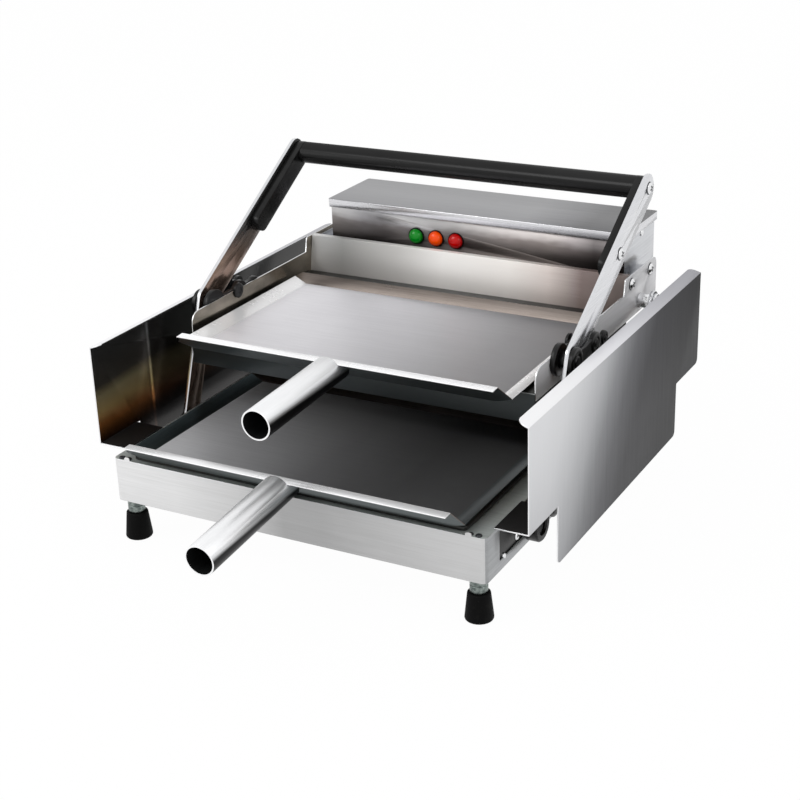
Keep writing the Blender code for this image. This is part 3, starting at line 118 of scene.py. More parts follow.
def tinted(tone):
    """A colour with its alpha, from three numbers, or from one number for a grey."""
    return (*(tone if isinstance(tone, tuple) else (tone,) * 3), 1)


class Nodes:
    """The nodes of a finish or of the room, and the one way in which nodes are added to them."""

    def __init__(self, tree):
        self.tree = tree

    def add(self, kind, settings, sockets, output=0):
        """One node: its kind, its settings, the values or wires of its sockets, and the output used."""
        node = self.tree.nodes.new("ShaderNode" + kind)
        for key, value in settings.items():
            if key == "stops":
                while len(node.color_ramp.elements) < len(value):
                    node.color_ramp.elements.new(1)
                for element, (place, tone) in zip(node.color_ramp.elements, value):
                    element.position = place
                    element.color = tinted(tone)
            else:
                setattr(node, key, value)
        for key, value in sockets.items():
            if isinstance(value, Wire):
                self.tree.links.new(value.socket, node.inputs[key])
            else:
                node.inputs[key].default_value = value
        return Wire(self, node.outputs[output])

    def lead(self, wire, node, socket):
        """Leads a wire to a socket of a node that is there from the start."""
        self.tree.links.new(wire.socket, self.tree.nodes[node].inputs[socket])

    def seen_by(self, *rays):
        """1 for rays of these kinds, and 0 for the rays that only carry light to the grill."""
        seen, *others = [self.add("LightPath", {}, {}, f"Is {ray} Ray") for ray in rays]
        for other in others:
            seen = seen.maths("MAXIMUM", other)
        return seen


class Finish(Nodes):
    """A surface: what is the same all over it is set at once, and what varies is fed in later."""

    def __init__(self, name, **plain):
        self.material = bpy.data.materials.new(name)
        self.material.use_nodes = True
        super().__init__(self.material.node_tree)
        self.shader = self.tree.nodes["Principled BSDF"]
        for word, value in plain.items():
            self.shader.inputs[self.label(word)].default_value = value

    def label(self, word):
        """The shader's own name of a socket, such as Specular IOR Level of specular_ior_level."""
        return word.replace("_", " ").title().replace("Ior", "IOR")

    def feed(self, **wires):
        for word, wire in wires.items():
            self.lead(wire, "Principled BSDF", self.label(word))

    def relief(self, wire, depth, strength=0.5):
        """Bumps of a depth in metres."""
        self.feed(normal=self.add("Bump", {}, {"Strength": strength, "Distance": depth, "Height": wire}))

    def noise(self, scale, detail=4, roughness=0.6):
        """Noise between 0 and 1, its cells set by one scale or by a scale for each axis."""
        scales = scale if isinstance(scale, tuple) else (scale,) * 3
        place = self.add("TexCoord", {}, {}, "Object")
        stretched = self.add("Mapping", {}, {"Vector": place, "Scale": scales})
        sockets = {"Vector": stretched, "Scale": 1, "Detail": detail, "Roughness": roughness}
        return self.add("TexNoise", {}, sockets, "Fac")

    def grain(self, axis, lengthways, crossways, detail=5):
        """Noise drawn out along an axis, by a low scale lengthways and a high one crossways."""
        return self.noise(tuple(lengthways if a == axis else crossways for a in "XYZ"), detail)

    def along(self, axis, kind="Object"):
        """A place along an axis in metres, or for the kind Normal how far the surface faces that way."""
        return self.add("SeparateXYZ", {}, {0: self.add("TexCoord", {}, {}, kind)}, axis)

    def way(self, axis, start, end, drift=None):
        """How far a place has come between two places along an axis, after a drift in metres."""
        place = self.along(axis)
        if drift:
            place = place + drift
        return (place - start) * (1 / (end - start))

    def share(self, wire, start, end):
        """How far a value has come between two limits, eased in and out, from 0 to 1."""
        sockets = {"Value": wire, "From Min": start, "From Max": end}
        return self.add("MapRange", {"interpolation_type": "SMOOTHSTEP"}, sockets)

    def ramp(self, wire, *stops):
        return self.add("ValToRGB", {"stops": stops}, {0: wire})

    def blend(self, factor, first, second, mode="MIX"):
        """Two colours mixed by a share."""
        first, second = (tone if isinstance(tone, Wire) else tinted(tone) for tone in (first, second))
        settings = {"data_type": "RGBA", "blend_type": mode}
        return self.add("Mix", settings, {0: factor, 6: first, 7: second}, 2)

    def times(self, first, second):
        """One colour multiplied by another."""
        return self.blend(1.0, first, second, "MULTIPLY")


studio_white = Finish("studio_white", roughness=0.9)
studio_white.feed(base_color=studio_white.ramp(studio_white.noise(3), (0, 0.90), (1, 0.93)))
painted = Wire(studio_white, studio_white.shader.outputs[0])
plain_white = studio_white.add("Emission", {}, {"Color": tinted(1), "Strength": 1})
plain_share = 0.975
floor_seen = studio_white.seen_by("Camera", "Glossy") * plain_share
floor_look = studio_white.add("MixShader", {}, {0: floor_seen, 1: painted, 2: plain_white})
studio_white.lead(floor_look, "Material Output", "Surface")
bpy.ops.mesh.primitive_plane_add(size=14, location=(0, 3, -0.0002))
floor = bpy.context.object
floor.name = "floor"
floor.data.materials.append(studio_white.material)


# The studio's light is a large soft box high on the left, a weaker one on the right, and a pale room.
# The room is plain white to the camera, to bright metal and to glass, and a little dimmer as a light.
def facing(spot, aim):
    """The placement at a spot of a thing whose own Z axis points along an aim."""
    return Matrix.Translation(spot) @ Vector(aim).to_track_quat("Z", "Y").to_matrix().to_4x4()


room = bpy.data.worlds.new("room")
bpy.context.scene.world = room
room.use_nodes = True
room_nodes = Nodes(room.node_tree)
room_seen = room_nodes.seen_by("Camera", "Glossy", "Transmission")
room_level = room_nodes.add("MapRange", {}, {"Value": room_seen, "To Min": 0.85, "To Max": 1.0})
room_nodes.lead(room_level, "Background", "Strength")
room.node_tree.nodes["Background"].inputs["Color"].default_value = tinted(1)
grill_middle = Vector((0, 0, 0.15))
for lamp_name, spot, size, power in (
    ("soft_box_left", (-1.6, -1.9, 2.2), 1.6, 30),
    ("soft_box_right", (2.2, -0.6, 1.7), 1.2, 9),
):
    light = bpy.data.objects.new(lamp_name, bpy.data.lights.new(lamp_name, "AREA"))
    light.data.size = size
    light.data.energy = power
    light.matrix_world = facing(spot, Vector(spot) - grill_middle)
    bpy.context.scene.collection.objects.link(light)

# The base is one folded sheet of stainless steel, open below, with a window cut in each side.
# Its faces are brushed along their length. Its front is painted with reflections, pale at the left, grey in
# the middle and lighter at the right, and its sides and top are painted darker as shade.
squarely, mostly = 0.9, 0.7
crease = 32


def ease(piece, edge, angle):
    """Rounds the edges that turn by more than an angle in degrees."""
    easing = piece.modifiers.new("easing", "BEVEL")
    easing.width = edge
    easing.segments = 2
    easing.limit_method = "ANGLE"
    easing.angle_limit = math.radians(angle)
    easing.harden_normals = True


def laid_out(name, shape, finishes):
    """The object that a mesh in the making becomes, with its finishes."""
    mesh = bpy.data.meshes.new(name)
    shape.to_mesh(mesh)
    shape.free()
    for finish in finishes:
        mesh.materials.append(finish.material)
    piece = bpy.data.objects.new(name, mesh)
    bpy.context.scene.collection.objects.link(piece)
    return piece


def dressed(node, finishes, edge, pick=None, angle=crease):
    """Puts a piece in a node's place: its solid with eased edges, and a finish picked for each face
    by the face's middle and normal, or else the first finish all over."""
    same_point, same_plane = 2e-6, math.radians(0.4)
    source = frame["nodes"][node]
    shape = bmesh.new()
    shape.from_mesh(source.data)
    bmesh.ops.remove_doubles(shape, verts=shape.verts, dist=same_point)
    bmesh.ops.dissolve_limit(shape, angle_limit=same_plane, verts=shape.verts, edges=shape.edges)
    for face in shape.faces:
        face.smooth = True
        finish = pick(face.calc_center_median(), face.normal) if pick else finishes[0]
        face.material_index = finishes.index(finish)
    piece = laid_out(node + "_dressed", shape, finishes)
    ease(piece, edge, angle)
    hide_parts(node)
    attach(piece, source["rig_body"])


def brushed(name, dark, light, axis, roughness=0.34, metallic=1.0, wash=None):
    """Steel brushed along an axis: long fine streaks in its tone, its sheen and its relief.
    A wash is an axis, its two ends, and the stops that the tone is multiplied by between them."""
    steel = Finish(name, metallic=metallic)
    streaks = steel.grain(axis, 22, 1300) * 0.65 + steel.grain(axis, 5, 240, 3) * 0.35
    cloud = steel.noise(7, 3)
    tone = steel.blend(steel.share(streaks * 0.7 + cloud * 0.3, 0.30, 0.70), dark, light)
    if wash:
        wash_axis, start, end, stops = wash
        drift = (end - start) * 0.05
        way = steel.way(wash_axis, start, end, cloud.between(-drift, drift))
        tone = steel.times(tone, steel.ramp(way, *stops))
    sheen = steel.noise(16) * 0.14 + streaks * 0.10 + (roughness - 0.12)
    steel.feed(base_color=tone, roughness=sheen)
    steel.relief(streaks, 0.00004, 0.6)
    return steel


base_low, base_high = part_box("base_shell")
base_bend = 0.004
# The front's tone is multiplied by painted reflections: pale at the left, grey in the middle, lighter at the
# right.
front_reflection_stops = ((0, 1.0), (0.18, 0.96), (0.36, 0.76), (0.48, 0.50), (0.60, 0.50), (0.80, 0.64), (1, 0.74))
base_front_steel = brushed(
    "base_front_steel", 0.74, (0.86, 0.86, 0.865), "X", 0.36, wash=("X", base_low.x, base_high.x, front_reflection_stops)
)
# The sides and the top are darker copies of the front's steel, painted as shade.
base_side_shaded = brushed("base_side_shaded", (0.26, 0.265, 0.27), (0.40, 0.41, 0.42), "Y", 0.36)
base_top_shaded = brushed("base_top_shaded", (0.30, 0.33, 0.32), (0.44, 0.47, 0.46), "X", 0.42, metallic=0.4)


def base_face(middle, normal):
    if normal.z > squarely and middle.y > base_low.y + base_bend:
        return base_top_shaded
    return base_side_shaded if abs(normal.x) > mostly else base_front_steel


dressed("base_shell", (base_front_steel, base_side_shaded, base_top_shaded), edge=0.0009, pick=base_face)


# Two small dark screws close each front corner of the base, beside its upstanding ear.
# They are blackened steel with domed heads, driven down into the top face.
def added(name, body, finish, shape, edge=0.0):
    """Fixes a small form that has no node of its own to a body."""
    for face in shape.faces:
        face.smooth = True
    bmesh.ops.recalc_face_normals(shape, faces=shape.faces)
    piece = laid_out(name, shape, (finish,))
    piece.data.set_sharp_from_angle(angle=math.radians(crease))
    if edge:
        ease(piece, edge, crease)
    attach(piece, body)


def turned(shape, outline, spot, aim, sides=32):
    """Adds a closed form turned about an axis, from its outline as radii and heights."""
    stand, same_point = facing(spot, aim), 1e-7
    rings = [
        [shape.verts.new(stand @ Vector((r * math.cos(turn), r * math.sin(turn), h))) for r, h in outline]
        for turn in (math.tau * step / sides for step in range(sides))
    ]
    for ring, after in zip(rings, rings[1:] + rings[:1]):
        for low in range(len(outline)):
            high = (low + 1) % len(outline)
            shape.faces.new((ring[low], after[low], after[high], ring[high]))
    bmesh.ops.remove_doubles(shape, verts=[vert for ring in rings for vert in ring], dist=same_point)


def domed(radius, height, sink=0.0006):
    """The outline of a domed head that is let a little into its sheet."""
    crown = ((1, 0.30), (0.90, 0.62), (0.66, 0.86), (0.34, 0.97), (0, 1))
    return ((0, -sink), (radius, -sink), *((radius * out, height * up) for out, up in crown))


def speckled(name, noise, dark, light, roughness, relief=0.0, **plain):
    """A finish that one noise varies: its tone and its roughness from a first value to a second,
    and its relief to a depth in metres. The noise is given by its scale, detail and roughness."""
    finish = Finish(name, **plain)
    grit = finish.noise(*noise)
    finish.feed(base_color=finish.blend(grit, dark, light), roughness=grit.between(*roughness))
    if relief:
        finish.relief(grit, relief)
    return finish


hands = (("left", -1), ("right", 1))
black_screw = speckled(
    "black_screw", (500, 5), (0.012, 0.013, 0.016), (0.050, 0.052, 0.058), (0.22, 0.47), metallic=0.6
)
base_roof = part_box("lower_heating_plate")[0].z
corner_screw_line, corner_screw_height = base_low.y + 0.0042, 0.0016
corner_screw_rows = ((0.0090, 0.0034), (0.0175, 0.0030))
for hand, side in hands:
    corner_screws = bmesh.new()
    for inset, radius in corner_screw_rows:
        spot = (side * (base_high.x - inset), corner_screw_line, base_roof)
        turned(corner_screws, domed(radius, corner_screw_height), spot, (0, 0, 1), sides=24)
    added(f"corner_screws_{hand}", "base", black_screw, corner_screws)

# The bottom cover is a flat stainless sheet with a row of slots that let warm air in.
# It is left as it came from the roll, dull and a little clouded.
mill_sheet = brushed("mill_sheet", (0.42, 0.42, 0.43), (0.58, 0.58, 0.59), "Y", 0.46)
dressed("base_bottom_cover", (mill_sheet,), edge=0.0002)

# The heating plates are thick steel slabs with a dark heat-proof coat, greyish green in the light.
# Years of wiping leave fine swirls and a duller, browner middle where the heat is strongest.
plate_coat = Finish("plate_coat", metallic=0.55)
swirl = plate_coat.noise(60, 6, 0.7)
warm = plate_coat.share(plate_coat.noise(9, 3), 0.35, 0.70)
plate_coat.feed(
    base_color=plate_coat.blend(warm, (0.016, 0.020, 0.020), (0.028, 0.026, 0.023)),
    roughness=swirl.between(0.26, 0.48),
)
plate_coat.relief(swirl, 0.00005)
dressed("lower_heating_plate", (plate_coat,), edge=0.0008)
dressed("deck_heating_plate", (plate_coat,), edge=0.0008)

# The pan under the deck is sooty sheet steel, the darkest surface of the grill.
# Soot lies on it in soft patches and takes away almost all of its shine.
soot = speckled(
    "soot", (40, 5, 0.7), 0.002, (0.009, 0.009, 0.008), (0.50, 0.75), 0.00008,
    specular_ior_level=0.12, metallic=0.1,
)
dressed("deck_pan", (soot,), edge=0.0003)

# The fascia is a narrow strip folded round the deck's front, in a dark coat like the plates'.
# Its upper edge is painted a lighter grey.
fascia_coat = Finish("fascia_coat", metallic=0.6)
fascia_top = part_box("deck_heating_plate")[1].z
fascia_rise = fascia_coat.along("Z") + fascia_coat.noise(300) * 0.0012
upper_edge_lighter = fascia_coat.share(fascia_rise, fascia_top - 0.0006, fascia_top + 0.0004)
fascia_grain = fascia_coat.grain("X", 20, 700)
fascia_coat.feed(
    base_color=fascia_coat.blend(upper_edge_lighter, (0.026, 0.031, 0.032), (0.24, 0.25, 0.25)),
    roughness=fascia_grain.between(0.24, 0.44),
)
fascia_coat.relief(fascia_grain, 0.00003)
dressed("deck_fascia", (fascia_coat,), edge=0.0003)

# The elements are steel-sheathed rods bent to and fro under each plate.
# The sheath has turned dark and slightly rough, with a bluish cast where it runs hottest.
sheath = Finish("sheath", metallic=0.8)
scale_spots = sheath.noise(420, 5, 0.7)
sheath.feed(
    base_color=sheath.blend(sheath.share(scale_spots, 0.3, 0.7), (0.05, 0.045, 0.045), (0.12, 0.12, 0.14)),
    roughness=scale_spots.between(0.35, 0.65),
)
sheath.relief(scale_spots, 0.00008, 0.6)
for rod in ("lower_heater", "deck_heater"):
    dressed(rod, (sheath,), edge=0.0002, angle=60)

# The four feet are zinc-plated ferrules pressed into tapered rubber boots.
# The plating is a cool grey with turning rings, and the rubber is matt with dust in its pores.
round_crease = 40
zinc_plate = Finish("zinc_plate", metallic=1.0)
turned_rings = zinc_plate.grain("Z", 1800, 60, 4)
bloom = zinc_plate.share(zinc_plate.noise(260), 0.3, 0.75)
zinc_plate.feed(
    base_color=zinc_plate.blend(bloom, (0.10, 0.12, 0.115), (0.30, 0.34, 0.32)),
    roughness=turned_rings.between(0.24, 0.42),
)
zinc_plate.relief(turned_rings, 0.00006, 0.6)
boot_rubber = Finish("boot_rubber", specular_ior_level=0.08)
pores = boot_rubber.noise(900, 5, 0.7)
dust = boot_rubber.share(boot_rubber.noise(90), 0.55, 0.85)
boot_rubber.feed(
    base_color=boot_rubber.blend(dust, 0.002, (0.008, 0.0075, 0.007)),
    roughness=pores.between(0.52, 0.77),
)
boot_rubber.relief(pores, 0.0001)
for end in ("front", "rear"):
    for hand in ("left", "right"):
        dressed(f"ferrule_{end}_{hand}", (zinc_plate,), edge=0.0003, angle=round_crease)
        dressed(f"boot_{end}_{hand}", (boot_rubber,), edge=0.0012, angle=round_crease)

# The gland closes the mains side of the base, the terminal block lies behind it, and the thermostat
# sits in the control box. The gland is a nylon moulding with a faint sheen, screwed into its sheet,
# and the bodies of the other two are unglazed ceramic.
gland_nylon = speckled(
    "gland_nylon", (700,), 0.010, (0.020, 0.020, 0.021), (0.36, 0.54), 0.00006,
    specular_ior_level=0.45,
)
dressed("cable_gland", (gland_nylon,), edge=0.0005, angle=round_crease)
bisque = speckled(
    "bisque", (800, 6, 0.7), (0.66, 0.62, 0.54), (0.80, 0.78, 0.72), (0.55, 0.75), 0.00012,
    specular_ior_level=0.3,
)
dressed("terminal_block", (bisque,), edge=0.0005)
dressed("thermostat", (bisque,), edge=0.0005, angle=round_crease)

# Each wing is a stepped stainless sheet with a flange at its top that leans inward.
# Outside it is brushed upright and painted with a reflection that fades from light at the front to dark at
# the rear.
# Inside it is polished and almost black, with painted reflections: brown bands near the base, a bright
# painted glint across it near the front, and a lighter front end.
wing_low, wing_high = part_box("wing_right")
wing_outer = Finish("wing_outer", metallic=1.0, specular_tint=(0.65, 0.65, 0.65, 1))
wing_streak = wing_outer.noise((1300, 900, 26), 5) * 0.6 + wing_outer.noise((200, 160, 6), 3) * 0.4
# The outer tone is a painted reflection that fades towards the rear and slants with height.
wing_slant = (wing_high.z - wing_outer.along("Z")) * 0.7
wing_reflection_sweep = wing_outer.way("Y", wing_low.y, wing_high.y, wing_slant) + wing_streak.between(-0.025, 0.025)
wing_outer.feed(
    base_color=wing_outer.ramp(
        wing_reflection_sweep,
        (0.10, (0.74, 0.745, 0.76)), (0.22, (0.70, 0.705, 0.72)), (0.32, (0.60, 0.605, 0.62)),
        (0.41, (0.47, 0.475, 0.49)), (0.50, (0.28, 0.283, 0.295)), (0.60, (0.150, 0.151, 0.160)),
        (0.72, (0.072, 0.072, 0.077)), (1.0, (0.030, 0.030, 0.032)),
    ),
    roughness=wing_streak.between(0.28, 0.44),
)
wing_outer.relief(wing_streak, 0.00004)
# The brown bands inside are painted reflections, and the glint is a painted highlight that leaves the front
# end lighter.
band_low, band_high, band_drift = 0.092, 0.205, 0.008
wing_inner = Finish("wing_inner", metallic=0.75, coat_roughness=0.08)
band_rise = wing_inner.noise((6, 4, 16)).between(-band_drift, band_drift) + wing_inner.along("Z")
inner_reflection_bands = wing_inner.ramp(
    wing_inner.share(band_rise, band_low, band_high),
    (0.0, (0.016, 0.008, 0.005)), (0.10, (0.38, 0.14, 0.036)), (0.28, (0.44, 0.30, 0.120)),
    (0.50, (0.38, 0.31, 0.170)), (0.66, (0.080, 0.070, 0.058)), (1.0, (0.050, 0.050, 0.048)),
)
glint = wing_inner.ramp(
    wing_inner.way("Y", wing_low.y, wing_high.y),
    (0.188, 1.0), (0.194, 0.35), (0.200, (4.0, 4.2, 4.4)), (0.206, 0.35),
    (0.24, (0.22, 0.21, 0.20)), (1.0, 0.20),
)
wing_inner.feed(
    base_color=wing_inner.times(inner_reflection_bands, glint),
    roughness=wing_inner.noise((30, 12, 30)).between(0.10, 0.26),
)
# The flange's rim is painted with a reflection, near white at the front and grey at the rear.
wing_rim = Finish("wing_rim", metallic=1.0)
rim_reflection_sweep = wing_rim.share(wing_rim.along("Y"), wing_low.y, wing_high.y)
wing_rim.feed(
    base_color=wing_rim.ramp(
        rim_reflection_sweep, (0.0, (0.90, 0.90, 0.91)), (0.45, (0.74, 0.74, 0.77)), (1.0, (0.34, 0.34, 0.37))
    ),
    roughness=wing_rim.grain("Y", 20, 900).between(0.26, 0.46),
)
wing_foot = speckled(
    "wing_foot", (300, 5, 0.7), 0.004, (0.016, 0.015, 0.015), (0.38, 0.58),
    metallic=0.3, specular_ior_level=0.2,
)
wing_foot_top, wing_foot_reach = base_roof + 0.012, wing_high.x - 0.003
flange_height, downward = 0.15, -0.5


def wing_face(middle, normal):
    if middle.z < wing_foot_top and abs(middle.x) < wing_foot_reach:
        return wing_foot
    if abs(normal.x) > squarely:
        return wing_outer if normal.x * middle.x > 0 else wing_inner
    return wing_inner if middle.z > flange_height and normal.z < downward else wing_rim


for hand in ("left", "right"):
    dressed(f"wing_{hand}", (wing_outer, wing_inner, wing_rim, wing_foot), edge=0.0004, pick=wing_face)

# The pivot plates and the deck's link plates are black-coated steel sheets and castings.
# The coat is satin and slightly pitted, and its corners are worn to a dull grey.
black_coat = Finish("black_coat", metallic=0.1, specular_ior_level=0.3)
pits = black_coat.noise(600, 5, 0.7)
chips = black_coat.share(black_coat.noise(140), 0.66, 0.80)
black_coat.feed(
    base_color=black_coat.blend(chips, 0.004, (0.030, 0.029, 0.028)),
    roughness=pits.between(0.18, 0.43),
)
black_coat.relief(pits, 0.0001, 0.6)
for hand in ("left", "right"):
    dressed(f"pivot_plate_{hand}", (black_coat,), edge=0.0004)
    dressed(f"link_plate_{hand}", (black_coat,), edge=0.0012)
    for bolt in ("lever_pivot_bolt", "elbow_bolt"):
        dressed(f"{bolt}_{hand}", (black_coat,), edge=0.0006, angle=round_crease)


# Each elbow has a black strap outside the arm that matches the link plate inside it.
# It is a small casting with three turned bosses on a waisted bar, held by the elbow's bolt.
def plank(shape, outline, near, far):
    """Adds a flat bar: an outline of places along Y and Z, between two places along X."""
    sides = [[shape.verts.new((x, y, z)) for y, z in outline] for x in (near, far)]
    for one, other in zip(range(len(outline)), list(range(1, len(outline))) + [0]):
        shape.faces.new((sides[0][one], sides[0][other], sides[1][other], sides[1][one]))
    shape.faces.new(sides[0])
    shape.faces.new(sides[1])


elbow = (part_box("elbow_bolt_right")[0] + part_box("elbow_bolt_right")[1]) / 2
arm_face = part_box("lever_arm_right")[1].x
strap_inner, strap_thickness, web_inset = arm_face + 0.0007, 0.0040, 0.0004
strap_outer = strap_inner + strap_thickness
strap_bosses = ((0.0, 0.0, 0.0150), (0.050, 0.003, 0.0115), (0.074, 0.0, 0.0080))
waist_start, waist_end, waist_middle = 0.62, 0.70, 0.70 * 0.8
boss_crown = (
    (1, 0), (0.86, 0.0008), (0.60, 0.0008), (0.52, 0.0002), (0.42, 0.0002), (0.36, 0.0016), (0, 0.0018),
)
for hand, side in hands:
    strap = bmesh.new()
    for (y, z, radius), (next_y, next_z, next_radius) in zip(strap_bosses, strap_bosses[1:]):
        web = (
            (y, z, radius * waist_start),
            ((y + next_y) / 2, (z + next_z) / 2, next_radius * waist_middle),
            (next_y, next_z, next_radius * waist_end),
        )
        lower = [(elbow.y + along, elbow.z + up - half) for along, up, half in web]
        upper = [(elbow.y + along, elbow.z + up + half) for along, up, half in reversed(web)]
        plank(strap, lower + upper, side * (strap_inner + web_inset), side * (strap_outer - web_inset))
    for y, z, radius in strap_bosses:
        crown = [(radius * out, strap_thickness + up) for out, up in boss_crown]
        boss = ((0, 0), (radius, 0), *crown)
        turned(strap, boss, (side * strap_inner, elbow.y + y, elbow.z + z), (side, 0, 0), sides=36)
    added(f"elbow_strap_{hand}", "deck", black_coat, strap, edge=0.0005)

# A black nut inside each deck side clamps the link plate's second boss.
# It is turned steel in the straps' black coat, with a raised rim round a flat middle.
guard_low, guard_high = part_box("deck_side_right")
nut_bed = guard_low.x - 0.0001
nut_y, nut_z = elbow.y + 0.040, elbow.z + 0.0045
nut_outline = (
    (0, 0), (0.0085, 0), (0.0085, 0.0022), (0.0072, 0.0031), (0.0040, 0.0031), (0.0036, 0.0024), (0, 0.0024),
)
for hand, side in hands:
    nut = bmesh.new()
    turned(nut, nut_outline, (side * nut_bed, nut_y, nut_z), (-side, 0, 0), sides=36)
    added(f"link_nut_{hand}", "deck", black_coat, nut)


# A black collar stands out from each side of the base below the lever's pivot.
# It is a turned steel disc with a sunk face on a short black arm, and two bright screws beside it
# hold the pivot plate.
def plated(name, dark, light):
    """Bright zinc plating with fine turning marks."""
    return speckled(name, (500, 5), dark, light, (0.14, 0.34), metallic=1.0)


pivot = (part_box("lever_pivot_bolt_right")[0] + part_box("lever_pivot_bolt_right")[1]) / 2
screw_bright = plated("screw_bright", (0.66, 0.67, 0.68), (0.90, 0.90, 0.91))
collar_bed = base_high.x + 0.0003
collar_outline = (
    (0, 0), (0.0165, 0), (0.0165, 0.0105), (0.0150, 0.0120), (0.0098, 0.0120), (0.0088, 0.0100), (0, 0.0100),
)
collar_y, collar_z = pivot.y - 0.037, pivot.z - 0.0105
neck_inner, neck_outer = base_high.x + 0.0005, base_high.x + 0.0020
neck_corners = ((-0.042, -0.0240), (-0.016, -0.0100), (-0.014, 0.0120), (-0.030, 0.0080))
plate_screw_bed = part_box("pivot_plate_right")[1].x + 0.0001
plate_screws, plate_screw_height = ((-0.069, -0.009, 0.0042), (-0.099, -0.016, 0.0034)), 0.0020
for hand, side in hands:
    disc = bmesh.new()
    turned(disc, collar_outline, (side * collar_bed, collar_y, collar_z), (side, 0, 0), sides=40)
    neck = [(pivot.y + y, pivot.z + z) for y, z in neck_corners]
    plank(disc, neck, side * neck_inner, side * neck_outer)
    added(f"pivot_collar_{hand}", "base", black_coat, disc)
    heads = bmesh.new()
    for y, z, radius in plate_screws:
        spot = (side * plate_screw_bed, pivot.y + y, pivot.z + z)
        turned(heads, domed(radius, plate_screw_height), spot, (side, 0, 0), sides=24)
    added(f"plate_screws_{hand}", "base", screw_bright, heads)

# The link pins and screws are bright zinc-plated steel with domed heads.
# Each head carries fine turning marks from the lathe.
screw_plate = plated("screw_plate", (0.70, 0.71, 0.72), (0.92, 0.92, 0.93))
for hand in ("left", "right"):
    for pin in ("rear_pivot_bolt", "rear_link_pin"):
        dressed(f"{pin}_{hand}", (screw_plate,), edge=0.0004, angle=round_crease)
    for screw in ("tab_screw_front", "tab_screw_rear", "handle_screw_upper", "handle_screw_lower"):
        dressed(f"{screw}_{hand}", (screw_plate,), edge=0.0003, angle=round_crease)

# Each screw head has a cross recess, dark with shadow and old grease.
# The recess shows as two short blackened bars let into the crown of the dome, and a dark ring round the head
# where it meets the sheet is a painted shadow.
recess_turns = (math.radians(20), math.radians(110))
recess_length, recess_width, recess_depth = 0.27, 0.05, 0.0012
skin = 0.00005
# The ring round each head is a painted shadow.
shadow_ring_inner, shadow_ring_outer, shadow_ring_crest, shadow_ring_height = 0.97, 1.16, 1.12, 0.0003
for hand, side in hands:
    for screw, body, sheet in (
        ("tab_screw_front", "deck", guard_high.x), ("tab_screw_rear", "deck", guard_high.x),
        ("handle_screw_upper", "lever", arm_face), ("handle_screw_lower", "lever", arm_face),
    ):
        low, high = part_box(f"{screw}_{hand}")
        middle, width = (low + high) / 2, high.z - low.z
        crown = high.x if side > 0 else low.x
        reach, half, head = width * recess_length, width * recess_width, width / 2
        recess = bmesh.new()
        for turn in recess_turns:
            c, s = math.cos(turn), math.sin(turn)
            corners = ((-reach, -half), (reach, -half), (reach, half), (-reach, half))
            bar = [(middle.y + u * c - v * s, middle.z + u * s + v * c) for u, v in corners]
            plank(recess, bar, crown - side * recess_depth, crown - side * skin)
        shadow_ring = (
            (head * shadow_ring_inner, 0), (head * shadow_ring_outer, 0),
            (head * shadow_ring_crest, shadow_ring_height), (head * shadow_ring_inner, shadow_ring_height),
        )
        turned(recess, shadow_ring, (side * (sheet + skin), middle.y, middle.z), (side, 0, 0))
        added(f"{screw}_{hand}_recess", body, black_screw, recess)

# The lever arms and rear links are flat bars of polished steel.
# Their outer faces and edges are near white, and their inner faces are painted darker with reflections, warm
# brown near the elbow and darkening to black towards the handle.
bar_bright = brushed("bar_bright", (0.64, 0.65, 0.67), (0.78, 0.78, 0.80), "Y", 0.24)
# The inner faces' tone is a painted reflection, brown near the elbow and black towards the handle.
bar_inner = Finish("bar_inner", metallic=0.9)
glimmer = bar_inner.noise((8, 14, 22))
bar_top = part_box("lever_arm_right")[1].z
bar_inner.feed(
    base_color=bar_inner.ramp(
        bar_inner.way("Z", elbow.z, bar_top, glimmer.between(-0.015, 0.015)),
        (0.0, (0.26, 0.18, 0.14)), (0.18, (0.40, 0.285, 0.225)), (0.34, (0.20, 0.16, 0.14)),
        (0.46, (0.085, 0.083, 0.082)), (0.70, 0.060), (1.0, 0.030),
    ),
    roughness=glimmer.between(0.20, 0.30),
)


def bar_face(middle, normal):
    return bar_inner if abs(normal.x) > squarely and normal.x * middle.x < 0 else bar_bright


for hand in ("left", "right"):
    for bar in ("lever_arm", "rear_link"):
        dressed(f"{bar}_{hand}", (bar_bright, bar_inner), edge=0.0006, pick=bar_face)

# The handle is one black moulding, a rounded bar with a leg down each arm.
# It is glossy where hands polish it, with a fine moulded grain on the legs.
grip_black = Finish("grip_black", specular_ior_level=0.18, coat_roughness=0.12)
polish = grip_black.noise((14, 60, 60), 3)
grip_black.feed(
    base_color=grip_black.blend(polish, 0.003, 0.008),
    roughness=polish.between(0.20, 0.40),
    coat_weight=polish * 0.12,
)
grip_black.relief(grip_black.noise(900), 0.00004, 0.4)
dressed("handle", (grip_black,), edge=0.0015, angle=round_crease)

# The deck's side plates are stainless sheets, brushed outside and polished inside.
# The inner faces are painted olive brown in soft clouds, the outer faces are darker towards their top, and
# the cut edges are bright.
guard_stops = ((0.55, 1.0), (0.72, 0.72), (1.0, 0.68))
guard_outer = brushed(
    "side_outer", (0.76, 0.76, 0.78), (0.90, 0.90, 0.92), "Y", 0.34, metallic=0.25,
    wash=("Z", guard_low.z, guard_high.z, guard_stops),
)
guard_inner = Finish("side_inner", metallic=0.95)
guard_cloud = guard_inner.noise((6, 9, 26))
guard_inner.feed(
    base_color=guard_inner.ramp(
        guard_cloud, (0.30, (0.12, 0.11, 0.09)), (0.52, (0.30, 0.27, 0.225)), (0.75, (0.44, 0.39, 0.33))
    ),
    roughness=guard_cloud.between(0.16, 0.30),
)
guard_edge = brushed("side_edge", (0.72, 0.73, 0.74), (0.88, 0.88, 0.89), "Y", 0.24)


def guard_face(middle, normal):
    if abs(normal.x) < squarely:
        return guard_edge
    return guard_outer if normal.x * middle.x > 0 else guard_inner


for hand in ("left", "right"):
    dressed(f"deck_side_{hand}", (guard_outer, guard_inner, guard_edge), edge=0.0004, pick=guard_face)
